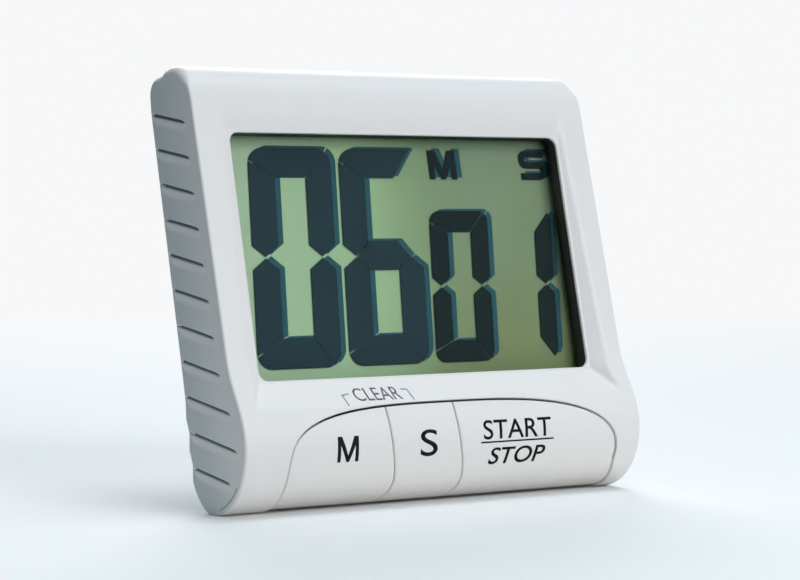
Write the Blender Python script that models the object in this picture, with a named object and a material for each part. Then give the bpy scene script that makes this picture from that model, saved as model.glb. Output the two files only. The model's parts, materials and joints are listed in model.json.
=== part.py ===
"""Desk timer with a large display, three keys, a fold-out stand and magnets on its back.

Sizes are in millimetres in the case frame: x to the right, y into the case from the window's
front plane, z up along the display.  The whole case leans back on its stand when it is at rest.
"""

import math

import bmesh
import bpy
from mathutils import Matrix, Vector

# Case
CASE_WIDTH = 84.0
CASE_DEPTH = 13.8
CASE_WALL = 1.8
EDGE_RADIUS = 0.6
LEAN_DEGREES = 13.4
TOP_HEIGHT = 34.6
TOP_STEP = 0.5
TOP_STEP_START = 7.3
TOP_STEP_LENGTH = 2.0
BACK_TOP_RADIUS = 3.0
BROW_HEIGHT = 7.7
BROW_DEPTH = 6.75
RAIL_TOP = 0.5
RAIL_BOTTOM = 1.85
RAMP_START = -18.0
BULGE_LEVEL = -31.1
BULGE_FRONT = 4.66
BULGE_DROP = 11.8
BULGE_DEPTH = 11.2
HEEL_LEVEL = -36.0
HEEL_START = 9.0
HEEL_DROP = 6.5
FOOT_FLAT_DEPTH = 0.1
BACK_OPENING_TOP = 30.6
BACK_OPENING_BOTTOM = -37.3

# Window in the front
SIDE_RAIL = 7.0
WINDOW_HEIGHT = 43.3
WINDOW_RADIUS = 1.8
WINDOW_LIP = 0.5
RECESS_MARGIN = 0.35
RECESS_TOP_RUN = 3.4
RECESS_SIDE_RUN = 0.9
RECESS_RISE = 0.62
RAMP_CUT_END = -27.0
RAMP_SIDE_GAP = 0.2

# Ribs on the sides
RIB_COUNT = 11
RIB_PITCH = 6.2
RIB_TOP = 27.9
RIB_SLOPE_DEGREES = 21.3
RIB_DEPTH = 0.75
RIB_FADE = 2.4
RIB_MARGIN = 3.5
RIB_END_LENGTH = 1.6
RIB_BACK_REACH = 2.0
RIB_RISE = 1.09
LAST_RIB_SHORTER = 3.4

# Keys
PANEL_CENTRE = 2.0
PANEL_LEFT_MARGIN = 8.6
PANEL_RIGHT_MARGIN = 5.2
PANEL_TOP = -26.95
PANEL_SHOULDER = -39.0
PANEL_LEFT_POWER = 3.2
PANEL_RIGHT_POWER = 2.8
PANEL_OPENING_DEPTH = 6.0
PANEL_SKIRT = 7.0
PANEL_FLARE = 1.6
MINUTES_EDGE = -12.6
SECONDS_EDGE = 1.4
KEY_GAP = 0.25
KEY_SINK = 0.12
KEY_THICKNESS = 1.6
KEY_TRAVEL = 0.8
KEY_FLANGE_THICKNESS = 0.8
KEY_FLANGE_REACH = 0.8
KEY_FLANGE_LOW = -30.6
KEY_STEM_RADIUS = 1.9
KEY_CENTRE_LEVEL = -32.4
KEY_CENTRES = {"minutes": -22.5, "seconds": -5.6, "start_stop": 17.0}
PILL_RADIUS = 1.1
FIT_GAP = 0.3

# Display stack, measured back from the window plane
BEZEL_FRONT = 0.7
BEZEL_STEP = 2.0
BEZEL_BACK = 3.7
BEZEL_RING = 1.5
BEZEL_MOUTH_GAP = 0.3
BEZEL_FLANGE_SIDE = 3.6
BEZEL_FLANGE_Z = 24.4
LENS_REBATE = 1.0
LENS_FRONT = 2.1
LENS_THICKNESS = 0.8
GLASS_SIDE_MARGIN = 2.0
GLASS_TOP = 24.2
GLASS_BOTTOM = -24.8
GLASS_FRONT = 3.9
GLASS_THICKNESS = 0.9
CELL_GAP = 0.35
LEDGE = 2.2
REFLECTOR_THICKNESS = 0.2
REFLECTOR_MARGIN = 0.4
FILM_MARGIN = 0.6
ZEBRA_HALF_LENGTH = 30.0
ZEBRA_HEIGHT = 1.6

# Digits
SEGMENT_THICKNESS = 0.16
LAYER_THICKNESS = 0.05
DIGIT_SLANT_DEGREES = 4.5
SEGMENT_GAP = 0.5
BIG_HEIGHT = 39.2
BIG_WIDTH = 16.9
BIG_STROKE = 5.6
BIG_PITCH = 18.7
BIG_LEFT = -29.9
SMALL_HEIGHT = 27.8
SMALL_WIDTH = 12.2
SMALL_STROKE = 4.3
SMALL_PITCH = 14.7
SMALL_LEFT = 6.6
DIGIT_BASE = -19.0

# Boards
BOARD_FRONT = 7.3
BOARD_THICKNESS = 1.0
BOARD_SIDE_MARGIN = 8.3
BOARD_TOP = 29.4
BOARD_BOTTOM = -25.0
BOARD_EAR = 5.0
BOARD_EAR_BOTTOM = -29.0
BOARD_SCREW_MARGIN = 2.4
BOARD_SCREW_RISE = 2.0
KEY_BOARD_FRONT = 0.35
KEY_BOARD_THICKNESS = 0.9
KEY_BOARD_TOP = -28.9
KEY_BOARD_BOTTOM = -36.4
KEY_BOARD_LEFT_MARGIN = 3.4
KEY_BOARD_RIGHT_MARGIN = 3.8
KEYPAD_THICKNESS = 0.8
DOME_RISE = 1.0
DOME_RADIUS = 2.6

# Posts and screws
POST_RADIUS = 2.3
POST_BORE = 1.0
POST_SIDE_MARGIN = 5.1
POST_TOP = 27.9
POST_BOTTOM = -28.6
SCREW_RADIUS = 0.7
SCREW_HEAD_RADIUS = 1.7
SCREW_HEAD = 0.8
SCREW_LENGTH = 5.0
BOARD_SCREW_LENGTH = 4.6
SCREW_SEAT = 1.0
BOARD_POST_RADIUS = 1.6
LOW_POST_ROOT = -2.1

# Battery
BATTERY_LEVEL = -31.8
BATTERY_DEPTH = 7.0
BATTERY_RADIUS = 5.25
BATTERY_LENGTH = 44.5
BATTERY_LEFT = -21.3
NUB_RADIUS = 1.9
NUB_LENGTH = 0.9
BAY_WALL = 1.1
BAY_FRONT = 4.6
SPRING_WIRE = 0.3
SPRING_TURNS = 4
CONTACT_THICKNESS = 0.3
CONTACT_HALF_WIDTH = 3.2
SPRING_LENGTH = 3.4
SPRING_ROOM = 4.6
SPRING_BASE_RADIUS = 3.6
SPRING_TIP_RADIUS = 1.8

# Back cover, lid, stand and magnets
COVER_THICKNESS = 1.5
LID_THICKNESS = 1.2
LID_TOP = -26.3
GRIP_COUNT = 4
GRIP_PITCH = 1.2
GRIP_HALF_WIDTH = 6.0
GRIP_DEPTH = 0.35
TRAY_FLOOR = 1.0
TRAY_WALL = 1.2
TRAY_DEPTH = 2.5
STAND_WIDTH = 36.0
STAND_LENGTH = 25.8
STAND_THICKNESS = 1.7
STAND_TIP_RADIUS = 4.0
STAND_GAP = 0.5
STAND_GROOVE = 0.4
NOTCH_RADIUS = 6.0
HINGE_ROOM = 2.9
HINGE_LEVEL = -20.3
HINGE_DEPTH = 12.6
PIN_RADIUS = 0.6
PIN_PLAY = 0.2
PIN_LENGTH = 5.0
MAGNET_RADIUS = 7.0
MAGNET_THICKNESS = 2.6
MAGNET_X = 27.0
MAGNET_LEVEL = 18.0
MAGNET_PROUD = 0.2
MAGNET_CUP = 1.0
BUZZER_RADIUS = 7.2
BUZZER_THICKNESS = 0.6
BUZZER_LEVEL = 21.0
SOUND_HOLE_RADIUS = 0.75
SOUND_RING = 3.6
SOUND_COUNT = 6
WIRE_RADIUS = 0.45
THIN_WIRE_RADIUS = 0.35
RIBBON_WIDTH = 0.8
RIBBON_THICKNESS = 0.2

MM = 0.001
HALF_WIDTH = CASE_WIDTH / 2
WINDOW_HALF_X = HALF_WIDTH - SIDE_RAIL
WINDOW_HALF_Z = WINDOW_HEIGHT / 2
PANEL_LEFT = HALF_WIDTH - PANEL_LEFT_MARGIN + PANEL_CENTRE
PANEL_RIGHT = HALF_WIDTH - PANEL_RIGHT_MARGIN - PANEL_CENTRE
BEZEL_FLANGE_X = WINDOW_HALF_X + BEZEL_FLANGE_SIDE
GLASS_HALF_WIDTH = WINDOW_HALF_X + GLASS_SIDE_MARGIN
BOARD_HALF_WIDTH = HALF_WIDTH - BOARD_SIDE_MARGIN
BOARD_SCREW_X = BOARD_HALF_WIDTH - BOARD_SCREW_MARGIN
BOARD_SCREW_TOP = BOARD_TOP - BOARD_SCREW_MARGIN
BOARD_SCREW_BOTTOM = BOARD_EAR_BOTTOM + BOARD_SCREW_RISE
KEY_BOARD_LEFT = PANEL_CENTRE - PANEL_LEFT + KEY_BOARD_LEFT_MARGIN
KEY_BOARD_RIGHT = PANEL_CENTRE + PANEL_RIGHT - KEY_BOARD_RIGHT_MARGIN
POST_X = HALF_WIDTH - POST_SIDE_MARGIN
LEAN = math.radians(LEAN_DEGREES)
BULGE_CORE = BULGE_DEPTH - BULGE_FRONT
HEEL_DEPTH = CASE_DEPTH - HEEL_START
BOARD_BACK = BOARD_FRONT + BOARD_THICKNESS
COVER_FRONT = CASE_DEPTH - COVER_THICKNESS
GLASS_BACK = GLASS_FRONT + GLASS_THICKNESS
CELL_BACK = GLASS_BACK + CELL_GAP + GLASS_THICKNESS
CURVE_START = -24.0
BULGE_STEP = math.radians(8.5)
OUTSIDE = 9.0


# Outlines

def smooth_step(value):
    """0 below 0, 1 above 1, and a smooth rise between."""
    value = min(max(value, 0.0), 1.0)
    return value * value * (3 - 2 * value)


def front_height(z):
    """How far the front stands forward of the window plane at height z, above the bulge."""
    span = TOP_HEIGHT - BROW_HEIGHT - RAMP_START
    rail = RAIL_TOP + (RAIL_BOTTOM - RAIL_TOP) * (TOP_HEIGHT - BROW_HEIGHT - z) / span
    if z >= RAMP_START:
        return rail
    rise = smooth_step((RAMP_START - z) / (RAMP_START - BULGE_LEVEL))
    return RAIL_BOTTOM + (BULGE_FRONT - RAIL_BOTTOM) * rise


def floor_level():
    """The floor's distance below the frame's centre when the case leans back."""
    reach = math.hypot(BULGE_DROP * math.cos(LEAN), BULGE_DEPTH * math.sin(LEAN))
    lowest = BULGE_LEVEL * math.cos(LEAN) - BULGE_CORE * math.sin(LEAN) - reach
    return -(lowest + FOOT_FLAT_DEPTH)


def height_above_floor(y, z):
    """Height of a point of the case frame above the floor."""
    return floor_level() + z * math.cos(LEAN) - y * math.sin(LEAN)


def clip(points, distance):
    """The part of a closed outline where distance(point) is not negative."""
    kept = []
    for index, here in enumerate(points):
        there = points[(index + 1) % len(points)]
        a = distance(here)
        b = distance(there)
        if a >= 0:
            kept.append(here)
        if (a > 0 > b) or (a < 0 < b):
            share = a / (a - b)
            kept.append(tuple(p + (q - p) * share for p, q in zip(here, there)))
    return kept


def case_outline():
    """Side outline of the closed case as (y, z), from the top of the front down and round."""
    points = [(-front_height(TOP_HEIGHT - BROW_HEIGHT), TOP_HEIGHT - BROW_HEIGHT)]
    points.append((-front_height(RAMP_START), RAMP_START))
    for step in range(1, 8):
        z = RAMP_START + (BULGE_LEVEL - RAMP_START) * step / 8
        points.append((-front_height(z), z))
    for step in range(0, 14):
        angle = BULGE_STEP * step
        y = BULGE_CORE - BULGE_DEPTH * math.cos(angle)
        z = BULGE_LEVEL - BULGE_DROP * math.sin(angle)
        if y < HEEL_START:
            points.append((y, z))
    for step in range(1, 8):
        angle = math.radians(90 * step / 7)
        y = HEEL_START + HEEL_DEPTH * math.sin(angle)
        z = HEEL_LEVEL - HEEL_DROP * math.cos(angle)
        points.append((y, z))
    top = TOP_HEIGHT - TOP_STEP
    for step in range(0, 6):
        angle = math.radians(90 * step / 5)
        y = CASE_DEPTH - BACK_TOP_RADIUS * (1 - math.cos(angle))
        z = top - BACK_TOP_RADIUS * (1 - math.sin(angle))
        points.append((y, z))
    for step in range(5, -1, -1):
        share = step / 5
        y = TOP_STEP_START + TOP_STEP_LENGTH * share
        z = TOP_HEIGHT - TOP_STEP * smooth_step(share)
        points.append((y, z))
    for step in range(0, 8):
        angle = math.radians(90 - 90 * step / 8)
        y = BROW_DEPTH - RAIL_TOP - BROW_DEPTH * math.cos(angle)
        z = TOP_HEIGHT - BROW_HEIGHT * (1 - math.sin(angle))
        points.append((y, z))
    return clip(points, lambda p: height_above_floor(*p))


def inset(points, distance):
    """The outline moved inwards along its own normals."""
    moved = []
    count = len(points)
    for index in range(count):
        before = Vector(points[index - 1])
        here = Vector(points[index])
        after = Vector(points[(index + 1) % count])
        first = (here - before).normalized()
        second = (after - here).normalized()
        tangent = (first + second).normalized()
        normal = Vector((-tangent.y, tangent.x))
        scale = 1 / max(normal.dot(Vector((-first.y, first.x))), 0.5)
        moved.append(tuple(here + normal * distance * scale))
    return moved


def rounded_rectangle(left, right, low, high, radius, steps=5):
    """Closed outline of a rectangle with round corners."""
    points = []
    corners = [(right, high, 0), (left, high, 90), (left, low, 180), (right, low, 270)]
    for x, z, start in corners:
        inward_x = -radius if x == right else radius
        inward_z = -radius if z == high else radius
        for step in range(steps + 1):
            angle = math.radians(start + 90 * step / steps)
            cx = x + inward_x + radius * math.cos(angle)
            cz = z + inward_z + radius * math.sin(angle)
            points.append((cx, cz))
    return points


def circle(x, z, radius, steps=20):
    """Closed round outline."""
    turn = math.tau / steps
    return [(x + radius * math.cos(turn * k), z + radius * math.sin(turn * k)) for k in range(steps)]


def panel_outline(grow=0.0):
    """Outline of the key panel: two superellipse shoulders and flaring lower sides."""
    points = []
    right = PANEL_RIGHT + grow
    left = PANEL_LEFT + grow
    rise = PANEL_TOP - PANEL_SHOULDER + grow
    low = PANEL_SHOULDER - PANEL_SKIRT
    points.append((PANEL_CENTRE + right + PANEL_FLARE, low))
    points.append((PANEL_CENTRE + right + PANEL_FLARE * 0.8, low + 3.0))
    for step in range(0, 14):
        angle = math.radians(90 * step / 14)
        x = PANEL_CENTRE + right * math.cos(angle) ** (2 / PANEL_RIGHT_POWER)
        z = PANEL_SHOULDER + rise * math.sin(angle) ** (2 / PANEL_RIGHT_POWER)
        points.append((x, z))
    for step in range(14, -1, -1):
        angle = math.radians(90 * step / 14)
        x = PANEL_CENTRE - left * math.cos(angle) ** (2 / PANEL_LEFT_POWER)
        z = PANEL_SHOULDER + rise * math.sin(angle) ** (2 / PANEL_LEFT_POWER)
        points.append((x, z))
    points.append((PANEL_CENTRE - left, low))
    return points


def bulge_curve(offset):
    """The bulge's front as (y, z) from above the keys to below them, moved inwards by offset."""
    points = []
    for step in range(0, 7):
        z = CURVE_START + (BULGE_LEVEL - CURVE_START) * step / 7
        slope = (front_height(z + 0.01) - front_height(z - 0.01)) / 0.02
        length = math.hypot(slope, 1)
        points.append((-front_height(z) + offset / length, z + offset * slope / length))
    for step in range(0, 14):
        angle = BULGE_STEP * step
        y = BULGE_CORE - (BULGE_DEPTH - offset) * math.cos(angle)
        z = BULGE_LEVEL - (BULGE_DROP - offset) * math.sin(angle)
        points.append((y, z))
    return points


# Mesh tools

def material(name, colour, roughness, metallic=0.0):
    """A plain surface finish."""
    finish = bpy.data.materials.get(name) or bpy.data.materials.new(name)
    finish.use_nodes = True
    shader = finish.node_tree.nodes["Principled BSDF"]
    shader.inputs["Base Color"].default_value = (*colour, 1.0)
    shader.inputs["Roughness"].default_value = roughness
    shader.inputs["Metallic"].default_value = metallic
    return finish


def finish_mesh(name, mesh, finish=None, smooth=True):
    """Put a bmesh in millimetres into a new object in metres, with its faces turned outwards."""
    bmesh.ops.recalc_face_normals(mesh, faces=mesh.faces)
    bmesh.ops.scale(mesh, vec=(MM, MM, MM), verts=mesh.verts)
    data = bpy.data.meshes.new(name)
    mesh.to_mesh(data)
    mesh.free()
    made = bpy.data.objects.new(name, data)
    bpy.context.scene.collection.objects.link(made)
    if finish:
        data.materials.append(finish)
    if smooth:
        data.shade_smooth()
        data.set_sharp_from_angle(angle=math.radians(30))
    return made


def loft(name, rings, finish=None, smooth=True):
    """Closed body through rings of equally many points, with flat ends."""
    mesh = bmesh.new()
    loops = [[mesh.verts.new(point) for point in ring] for ring in rings]
    count = len(loops[0])
    for first, second in zip(loops, loops[1:]):
        for index in range(count):
            after = (index + 1) % count
            mesh.faces.new((first[index], first[after], second[after], second[index]))
    mesh.faces.new(loops[0])
    mesh.faces.new(loops[-1])
    return finish_mesh(name, mesh, finish, smooth)


def along_y(name, outline, front, back, finish=None):
    """Body of an (x, z) outline between two depths."""
    return loft(name, [[(x, y, z) for x, z in outline] for y in (front, back)], finish)


def along_x(name, outline, left, right, finish=None):
    """Body of a (y, z) outline between two sides."""
    return loft(name, [[(x, y, z) for y, z in outline] for x in (left, right)], finish)


def box(name, low, high, finish=None):
    """Plain block between two corners."""
    outline = [(low[0], low[2]), (high[0], low[2]), (high[0], high[2]), (low[0], high[2])]
    return along_y(name, outline, low[1], high[1], finish)


def turned(name, profile, centre, axis="Y", steps=20, finish=None):
    """Body turned from (radius, distance) pairs about an axis through centre."""
    rings = []
    for radius, distance in profile:
        ring = []
        for k in range(steps):
            a = math.tau * k / steps
            if axis == "Y":
                spot = (radius * math.cos(a), distance, radius * math.sin(a))
            else:
                spot = (distance, radius * math.cos(a), radius * math.sin(a))
            ring.append(tuple(c + s for c, s in zip(centre, spot)))
        rings.append(ring)
    return loft(name, rings, finish)


def sweep(name, path, radius, sides=8, finish=None):
    """Round wire along a list of points."""
    points = [Vector(p) for p in path]
    rings = []
    up = None
    for index, here in enumerate(points):
        before = points[max(index - 1, 0)]
        after = points[min(index + 1, len(points) - 1)]
        tangent = (after - before).normalized()
        if up is None:
            up = tangent.orthogonal().normalized()
        up = (up - tangent * up.dot(tangent)).normalized()
        side = tangent.cross(up)
        ring = []
        for k in range(sides):
            a = math.tau * k / sides
            ring.append(tuple(here + (up * math.cos(a) + side * math.sin(a)) * radius))
        rings.append(ring)
    return loft(name, rings, finish)


def combine(base, tools, operation):
    """Apply one exact Boolean for each tool and delete the tools."""
    for tool in tools:
        step = base.modifiers.new(tool.name, "BOOLEAN")
        step.operation = operation
        step.solver = "EXACT"
        step.object = tool
    graph = bpy.context.evaluated_depsgraph_get()
    result = bpy.data.meshes.new_from_object(base.evaluated_get(graph), depsgraph=graph)
    base.modifiers.clear()
    result.name = base.name
    base.data = result
    for tool in tools:
        bpy.data.objects.remove(tool)
    result.shade_smooth()
    result.set_sharp_from_angle(angle=math.radians(30))
    return base


def cut(base, *tools):
    """Take the tools out of the base."""
    return combine(base, tools, "DIFFERENCE")


def join(base, *tools):
    """Fuse the tools with the base."""
    return combine(base, tools, "UNION")


def set_origin(part, x, y, z):
    """Move a part's origin to a point of the case frame, with its shape left in place."""
    spot = Vector((x, y, z)) * MM
    part.data.transform(Matrix.Translation(-spot))
    part.location = spot
    return part


def case_screw_spots():
    """Centres of the four case screws."""
    return [(x, z) for x in (-POST_X, POST_X) for z in (POST_TOP, POST_BOTTOM)]


def board_screw_spots():
    """Centres of the four board screws."""
    return [(x, z) for x in (-BOARD_SCREW_X, BOARD_SCREW_X) for z in (BOARD_SCREW_TOP, BOARD_SCREW_BOTTOM)]


# Case

def body_stations():
    """Places along x with the inset that rounds the side's edge, right half."""
    edge_start = HALF_WIDTH - EDGE_RADIUS
    stations = []
    for step in range(0, 5):
        angle = math.radians(90 * step / 4)
        stations.append((edge_start + EDGE_RADIUS * math.sin(angle), EDGE_RADIUS * (1 - math.cos(angle))))
    return stations


def case_ring(x, edge):
    """The case outline at x, inset by edge."""
    return [(x, y, z) for y, z in inset(case_outline(), edge)]


def cavity_outline():
    """Inside of the case as (y, z), open to the back."""
    sill = GLASS_BOTTOM - 0.6
    behind = CASE_DEPTH + OUTSIDE
    points = [(behind, BACK_OPENING_TOP), (CASE_WALL + 2.7, BACK_OPENING_TOP)]
    points.append((CASE_WALL, TOP_HEIGHT - BROW_HEIGHT + 1.0))
    points.append((CASE_WALL, sill))
    points += [p for p in bulge_curve(CASE_WALL) if p[1] < sill and p[0] < HEEL_START]
    for step in range(0, 6):
        angle = math.radians(90 * step / 6)
        y = HEEL_START + (HEEL_DEPTH - CASE_WALL) * math.sin(angle)
        z = HEEL_LEVEL - (HEEL_DROP - CASE_WALL) * math.cos(angle)
        if z < BACK_OPENING_BOTTOM:
            points.append((y, z))
    points.append((CASE_DEPTH - CASE_WALL, BACK_OPENING_BOTTOM))
    points.append((behind, BACK_OPENING_BOTTOM))
    return points


def rib_cutter(index, side):
    """Wedge for one rib's upper edge, on the left side for side -1 and the right for side 1."""
    slope = math.tan(math.radians(RIB_SLOPE_DEGREES))
    back_y = CASE_DEPTH + RIB_BACK_REACH
    back_z = RIB_TOP - RIB_PITCH * index + RIB_RISE
    end_y = RIB_MARGIN - front_height(back_z - back_y * slope)
    if index == RIB_COUNT - 1:
        end_y += LAST_RIB_SHORTER
    rings = []
    for share in (0.0, 0.5, 1.0):
        rings.append((back_y + (end_y + RIB_END_LENGTH - back_y) * share, 1.0))
    for step in (1, 2, 3):
        angle = math.radians(25 * step)
        rings.append((end_y + RIB_END_LENGTH * (1 - math.sin(angle)), math.cos(angle)))
    loops = []
    outside = side * (HALF_WIDTH + 0.6)
    for y, size in rings:
        z = back_z - (back_y - y) * slope
        deep = side * (HALF_WIDTH - RIB_DEPTH * size)
        loops.append([
            (outside, y, z + 0.25),
            (deep, y, z - 0.1),
            (side * (HALF_WIDTH - RIB_DEPTH * size * 0.45), y, z - RIB_FADE * 0.45 * size - 0.1),
            (outside, y, z - RIB_FADE * size - 1.6),
        ])
    return loft("rib", loops)


def front_case(white):
    """Front shell with window, key opening, ribbed sides and screw posts."""
    right = body_stations()
    rings = [case_ring(-x, edge) for x, edge in reversed(right)]
    rings += [case_ring(x, edge) for x, edge in right]
    shell = loft("front_case", rings, white)
    inside = HALF_WIDTH - CASE_WALL
    cavity = along_x("cavity", cavity_outline(), -inside, inside)

    ribs = [rib_cutter(index, side) for index in range(RIB_COUNT) for side in (-1, 1)]
    cut(shell, cavity, *ribs)

    half_w = WINDOW_HALF_X
    half_h = WINDOW_HALF_Z
    levels = []
    for height in (0.0, 3.0):
        grow = height / RECESS_RISE
        levels.append([(x, -height, z) for x, z in rounded_rectangle(
            -half_w - RECESS_MARGIN - RECESS_SIDE_RUN * grow,
            half_w + RECESS_MARGIN + RECESS_SIDE_RUN * grow,
            -half_h - RECESS_MARGIN,
            half_h + RECESS_MARGIN + RECESS_TOP_RUN * grow,
            WINDOW_RADIUS + RECESS_MARGIN)])
    recess = loft("recess", levels)
    sill_top = -half_h - RECESS_MARGIN
    ramp = [(0.0, 0.0), (0.0, sill_top), (-front_height(RAMP_CUT_END), RAMP_CUT_END),
            (-OUTSIDE, BULGE_LEVEL), (-OUTSIDE, 0.0)]
    ramp_side = half_w + RECESS_MARGIN + RAMP_SIDE_GAP
    ramp_cut = along_x("ramp", ramp, -ramp_side, ramp_side)
    window = along_y("window", rounded_rectangle(-half_w, half_w, -half_h, half_h, WINDOW_RADIUS),
                     -OUTSIDE, BEZEL_FRONT + OUTSIDE)
    ring_x = half_w + BEZEL_RING + FIT_GAP
    ring_z = half_h + BEZEL_RING + FIT_GAP
    rebate = along_y("rebate", rounded_rectangle(-ring_x, ring_x, -ring_z, ring_z, WINDOW_RADIUS + 0.2),
                     WINDOW_LIP, CASE_WALL + OUTSIDE)
    keys = along_y("keys", panel_outline(), -OUTSIDE, PANEL_OPENING_DEPTH)
    cut(shell, recess, ramp_cut, window, rebate, keys)

    posts = []
    bores = []
    for x, z in case_screw_spots():
        root = CASE_WALL / 2 - front_height(z)
        posts.append(along_y("post", circle(x, z, POST_RADIUS, 14), root, COVER_FRONT - FIT_GAP))
        bores.append(along_y("bore", circle(x, z, POST_BORE, 12), COVER_FRONT - 7, CASE_DEPTH))
    for x, z in board_screw_spots():
        root = CASE_WALL / 2 - front_height(z)
        if z < sill_top:
            root = LOW_POST_ROOT
        posts.append(along_y("post", circle(x, z, BOARD_POST_RADIUS, 14), root, BOARD_FRONT - 0.15))
        bores.append(along_y("bore", circle(x, z, SCREW_RADIUS + 0.2, 12), 2.6, CASE_DEPTH))
    join(shell, *posts)
    cut(shell, *bores)
    return shell


def bezel(black):
    """Dark frame that holds the clear window and presses on the display glass."""
    ring_x = WINDOW_HALF_X + BEZEL_RING
    ring_z = WINDOW_HALF_Z + BEZEL_RING
    nose = along_y("display_bezel", rounded_rectangle(-ring_x, ring_x, -ring_z, ring_z, WINDOW_RADIUS),
                   BEZEL_FRONT, BEZEL_STEP + 0.5, black)
    flange = along_y("flange", rounded_rectangle(-BEZEL_FLANGE_X, BEZEL_FLANGE_X, -BEZEL_FLANGE_Z,
                                                 BEZEL_FLANGE_Z, 1.0), BEZEL_STEP, BEZEL_BACK)
    join(nose, flange)
    open_x = WINDOW_HALF_X + BEZEL_MOUTH_GAP
    open_z = WINDOW_HALF_Z + BEZEL_MOUTH_GAP
    mouth = along_y("mouth", rounded_rectangle(-open_x, open_x, -open_z, open_z, WINDOW_RADIUS),
                    0, BEZEL_BACK + 1)
    seat_x = open_x + LENS_REBATE
    seat_z = open_z + LENS_REBATE
    seat = along_y("seat", rounded_rectangle(-seat_x, seat_x, -seat_z, seat_z, 1.2),
                   LENS_FRONT - 0.15, BEZEL_BACK + 1)
    return cut(nose, mouth, seat)


def lens(clear):
    """Clear window that sits in the dark frame."""
    half_x = WINDOW_HALF_X + BEZEL_MOUTH_GAP + LENS_REBATE - FIT_GAP / 2
    half_z = WINDOW_HALF_Z + BEZEL_MOUTH_GAP + LENS_REBATE - FIT_GAP / 2
    outline = rounded_rectangle(-half_x, half_x, -half_z, half_z, 1.0)
    return along_y("display_window", outline, LENS_FRONT, LENS_FRONT + LENS_THICKNESS, clear)


# Display

def display_glass(clear, silver):
    """Front and rear glass of the liquid crystal cell and the reflector behind them."""
    x = GLASS_HALF_WIDTH
    front = box("lcd_front_glass", (-x, GLASS_FRONT, GLASS_BOTTOM), (x, GLASS_BACK, GLASS_TOP), clear)
    rear_front = GLASS_BACK + CELL_GAP
    low = GLASS_BOTTOM + LEDGE
    rear = box("lcd_rear_glass", (-x, rear_front, low), (x, CELL_BACK, GLASS_TOP), clear)
    start = CELL_BACK + 0.1
    back = start + REFLECTOR_THICKNESS
    edge = REFLECTOR_MARGIN
    sheet = box("lcd_reflector", (edge - x, start, low + edge), (x - edge, back, GLASS_TOP - edge), silver)
    return front, rear, sheet


def segment_shapes(width, height, stroke):
    """The seven segments of a digit standing on its lower left corner, upright, by letter."""
    w = width
    h = height
    s = stroke
    m = h / 2
    g = SEGMENT_GAP / 2
    r = s * 0.42
    point = s * 0.5
    upper_right = [
        (w, m + point * 0.55 + g), (w, h - r - s * 0.35), (w - r * 0.25, h - r * 0.55),
        (w - s + g, h - s - g), (w - s, h - s - g * 2), (w - s, m + point * 0.55 + g), (w - s / 2, m + g)]
    top = [
        (r * 0.55, h - r * 0.25), (r * 1.3, h), (w - r, h), (w - r * 0.45, h - r * 0.2),
        (w - s - g, h - s), (s + g, h - s), (r * 0.1, h - r * 0.95)]
    upper_left = [(w - x, z) for x, z in upper_right]
    lower_right = [(x, h - z) for x, z in upper_right]
    lower_left = [(w - x, h - z) for x, z in upper_right]
    bottom = [(x, h - z) for x, z in top]
    bar = s * 0.5
    middle = [
        (s / 2 + g * 2, m), (s, m + bar), (w - s - g, m + bar), (w - s / 2 - g * 2, m),
        (w - s - g, m - bar * 0.9), (s, m - bar * 0.9)]
    return {"a": top, "b": upper_right, "c": lower_right, "d": bottom, "e": lower_left,
            "f": upper_left, "g": middle}


def digit(letters, left, width, height, stroke):
    """Lit segments of one digit as thin plates."""
    slant = math.tan(math.radians(DIGIT_SLANT_DEGREES))
    middle = GLASS_BACK + CELL_GAP / 2
    plates = []
    shapes = segment_shapes(width, height, stroke)
    for letter in letters:
        outline = [(left + x + (z - height / 2) * slant, DIGIT_BASE + z) for x, z in shapes[letter]]
        plates.append(along_y("segment", outline, middle - SEGMENT_THICKNESS / 2,
                              middle + SEGMENT_THICKNESS / 2))
    return plates


def display_segments(ink):
    """The thin layer between the glasses with its lit digits: minutes large, seconds small."""
    middle = GLASS_BACK + CELL_GAP / 2
    x = GLASS_HALF_WIDTH - FILM_MARGIN
    film = box("lcd_segments", (-x, middle, GLASS_BOTTOM + LEDGE + FILM_MARGIN),
               (x, middle + LAYER_THICKNESS, GLASS_TOP - FILM_MARGIN), ink)
    plates = digit("abcdef", BIG_LEFT, BIG_WIDTH, BIG_HEIGHT, BIG_STROKE)
    plates += digit("acdefg", BIG_LEFT + BIG_PITCH, BIG_WIDTH, BIG_HEIGHT, BIG_STROKE)
    plates += digit("abcdef", SMALL_LEFT, SMALL_WIDTH, SMALL_HEIGHT, SMALL_STROKE)
    plates += digit("bc", SMALL_LEFT + SMALL_PITCH, SMALL_WIDTH, SMALL_HEIGHT, SMALL_STROKE)
    return join(film, *plates)


def zebra_strip(grey):
    """Elastic connector between the glass ledge and the board."""
    low = GLASS_BOTTOM + 0.2
    return box("zebra_strip", (-ZEBRA_HALF_LENGTH, GLASS_BACK + 0.1, low),
               (ZEBRA_HALF_LENGTH, BOARD_FRONT - 0.1, low + ZEBRA_HEIGHT), grey)


# Keys

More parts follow.
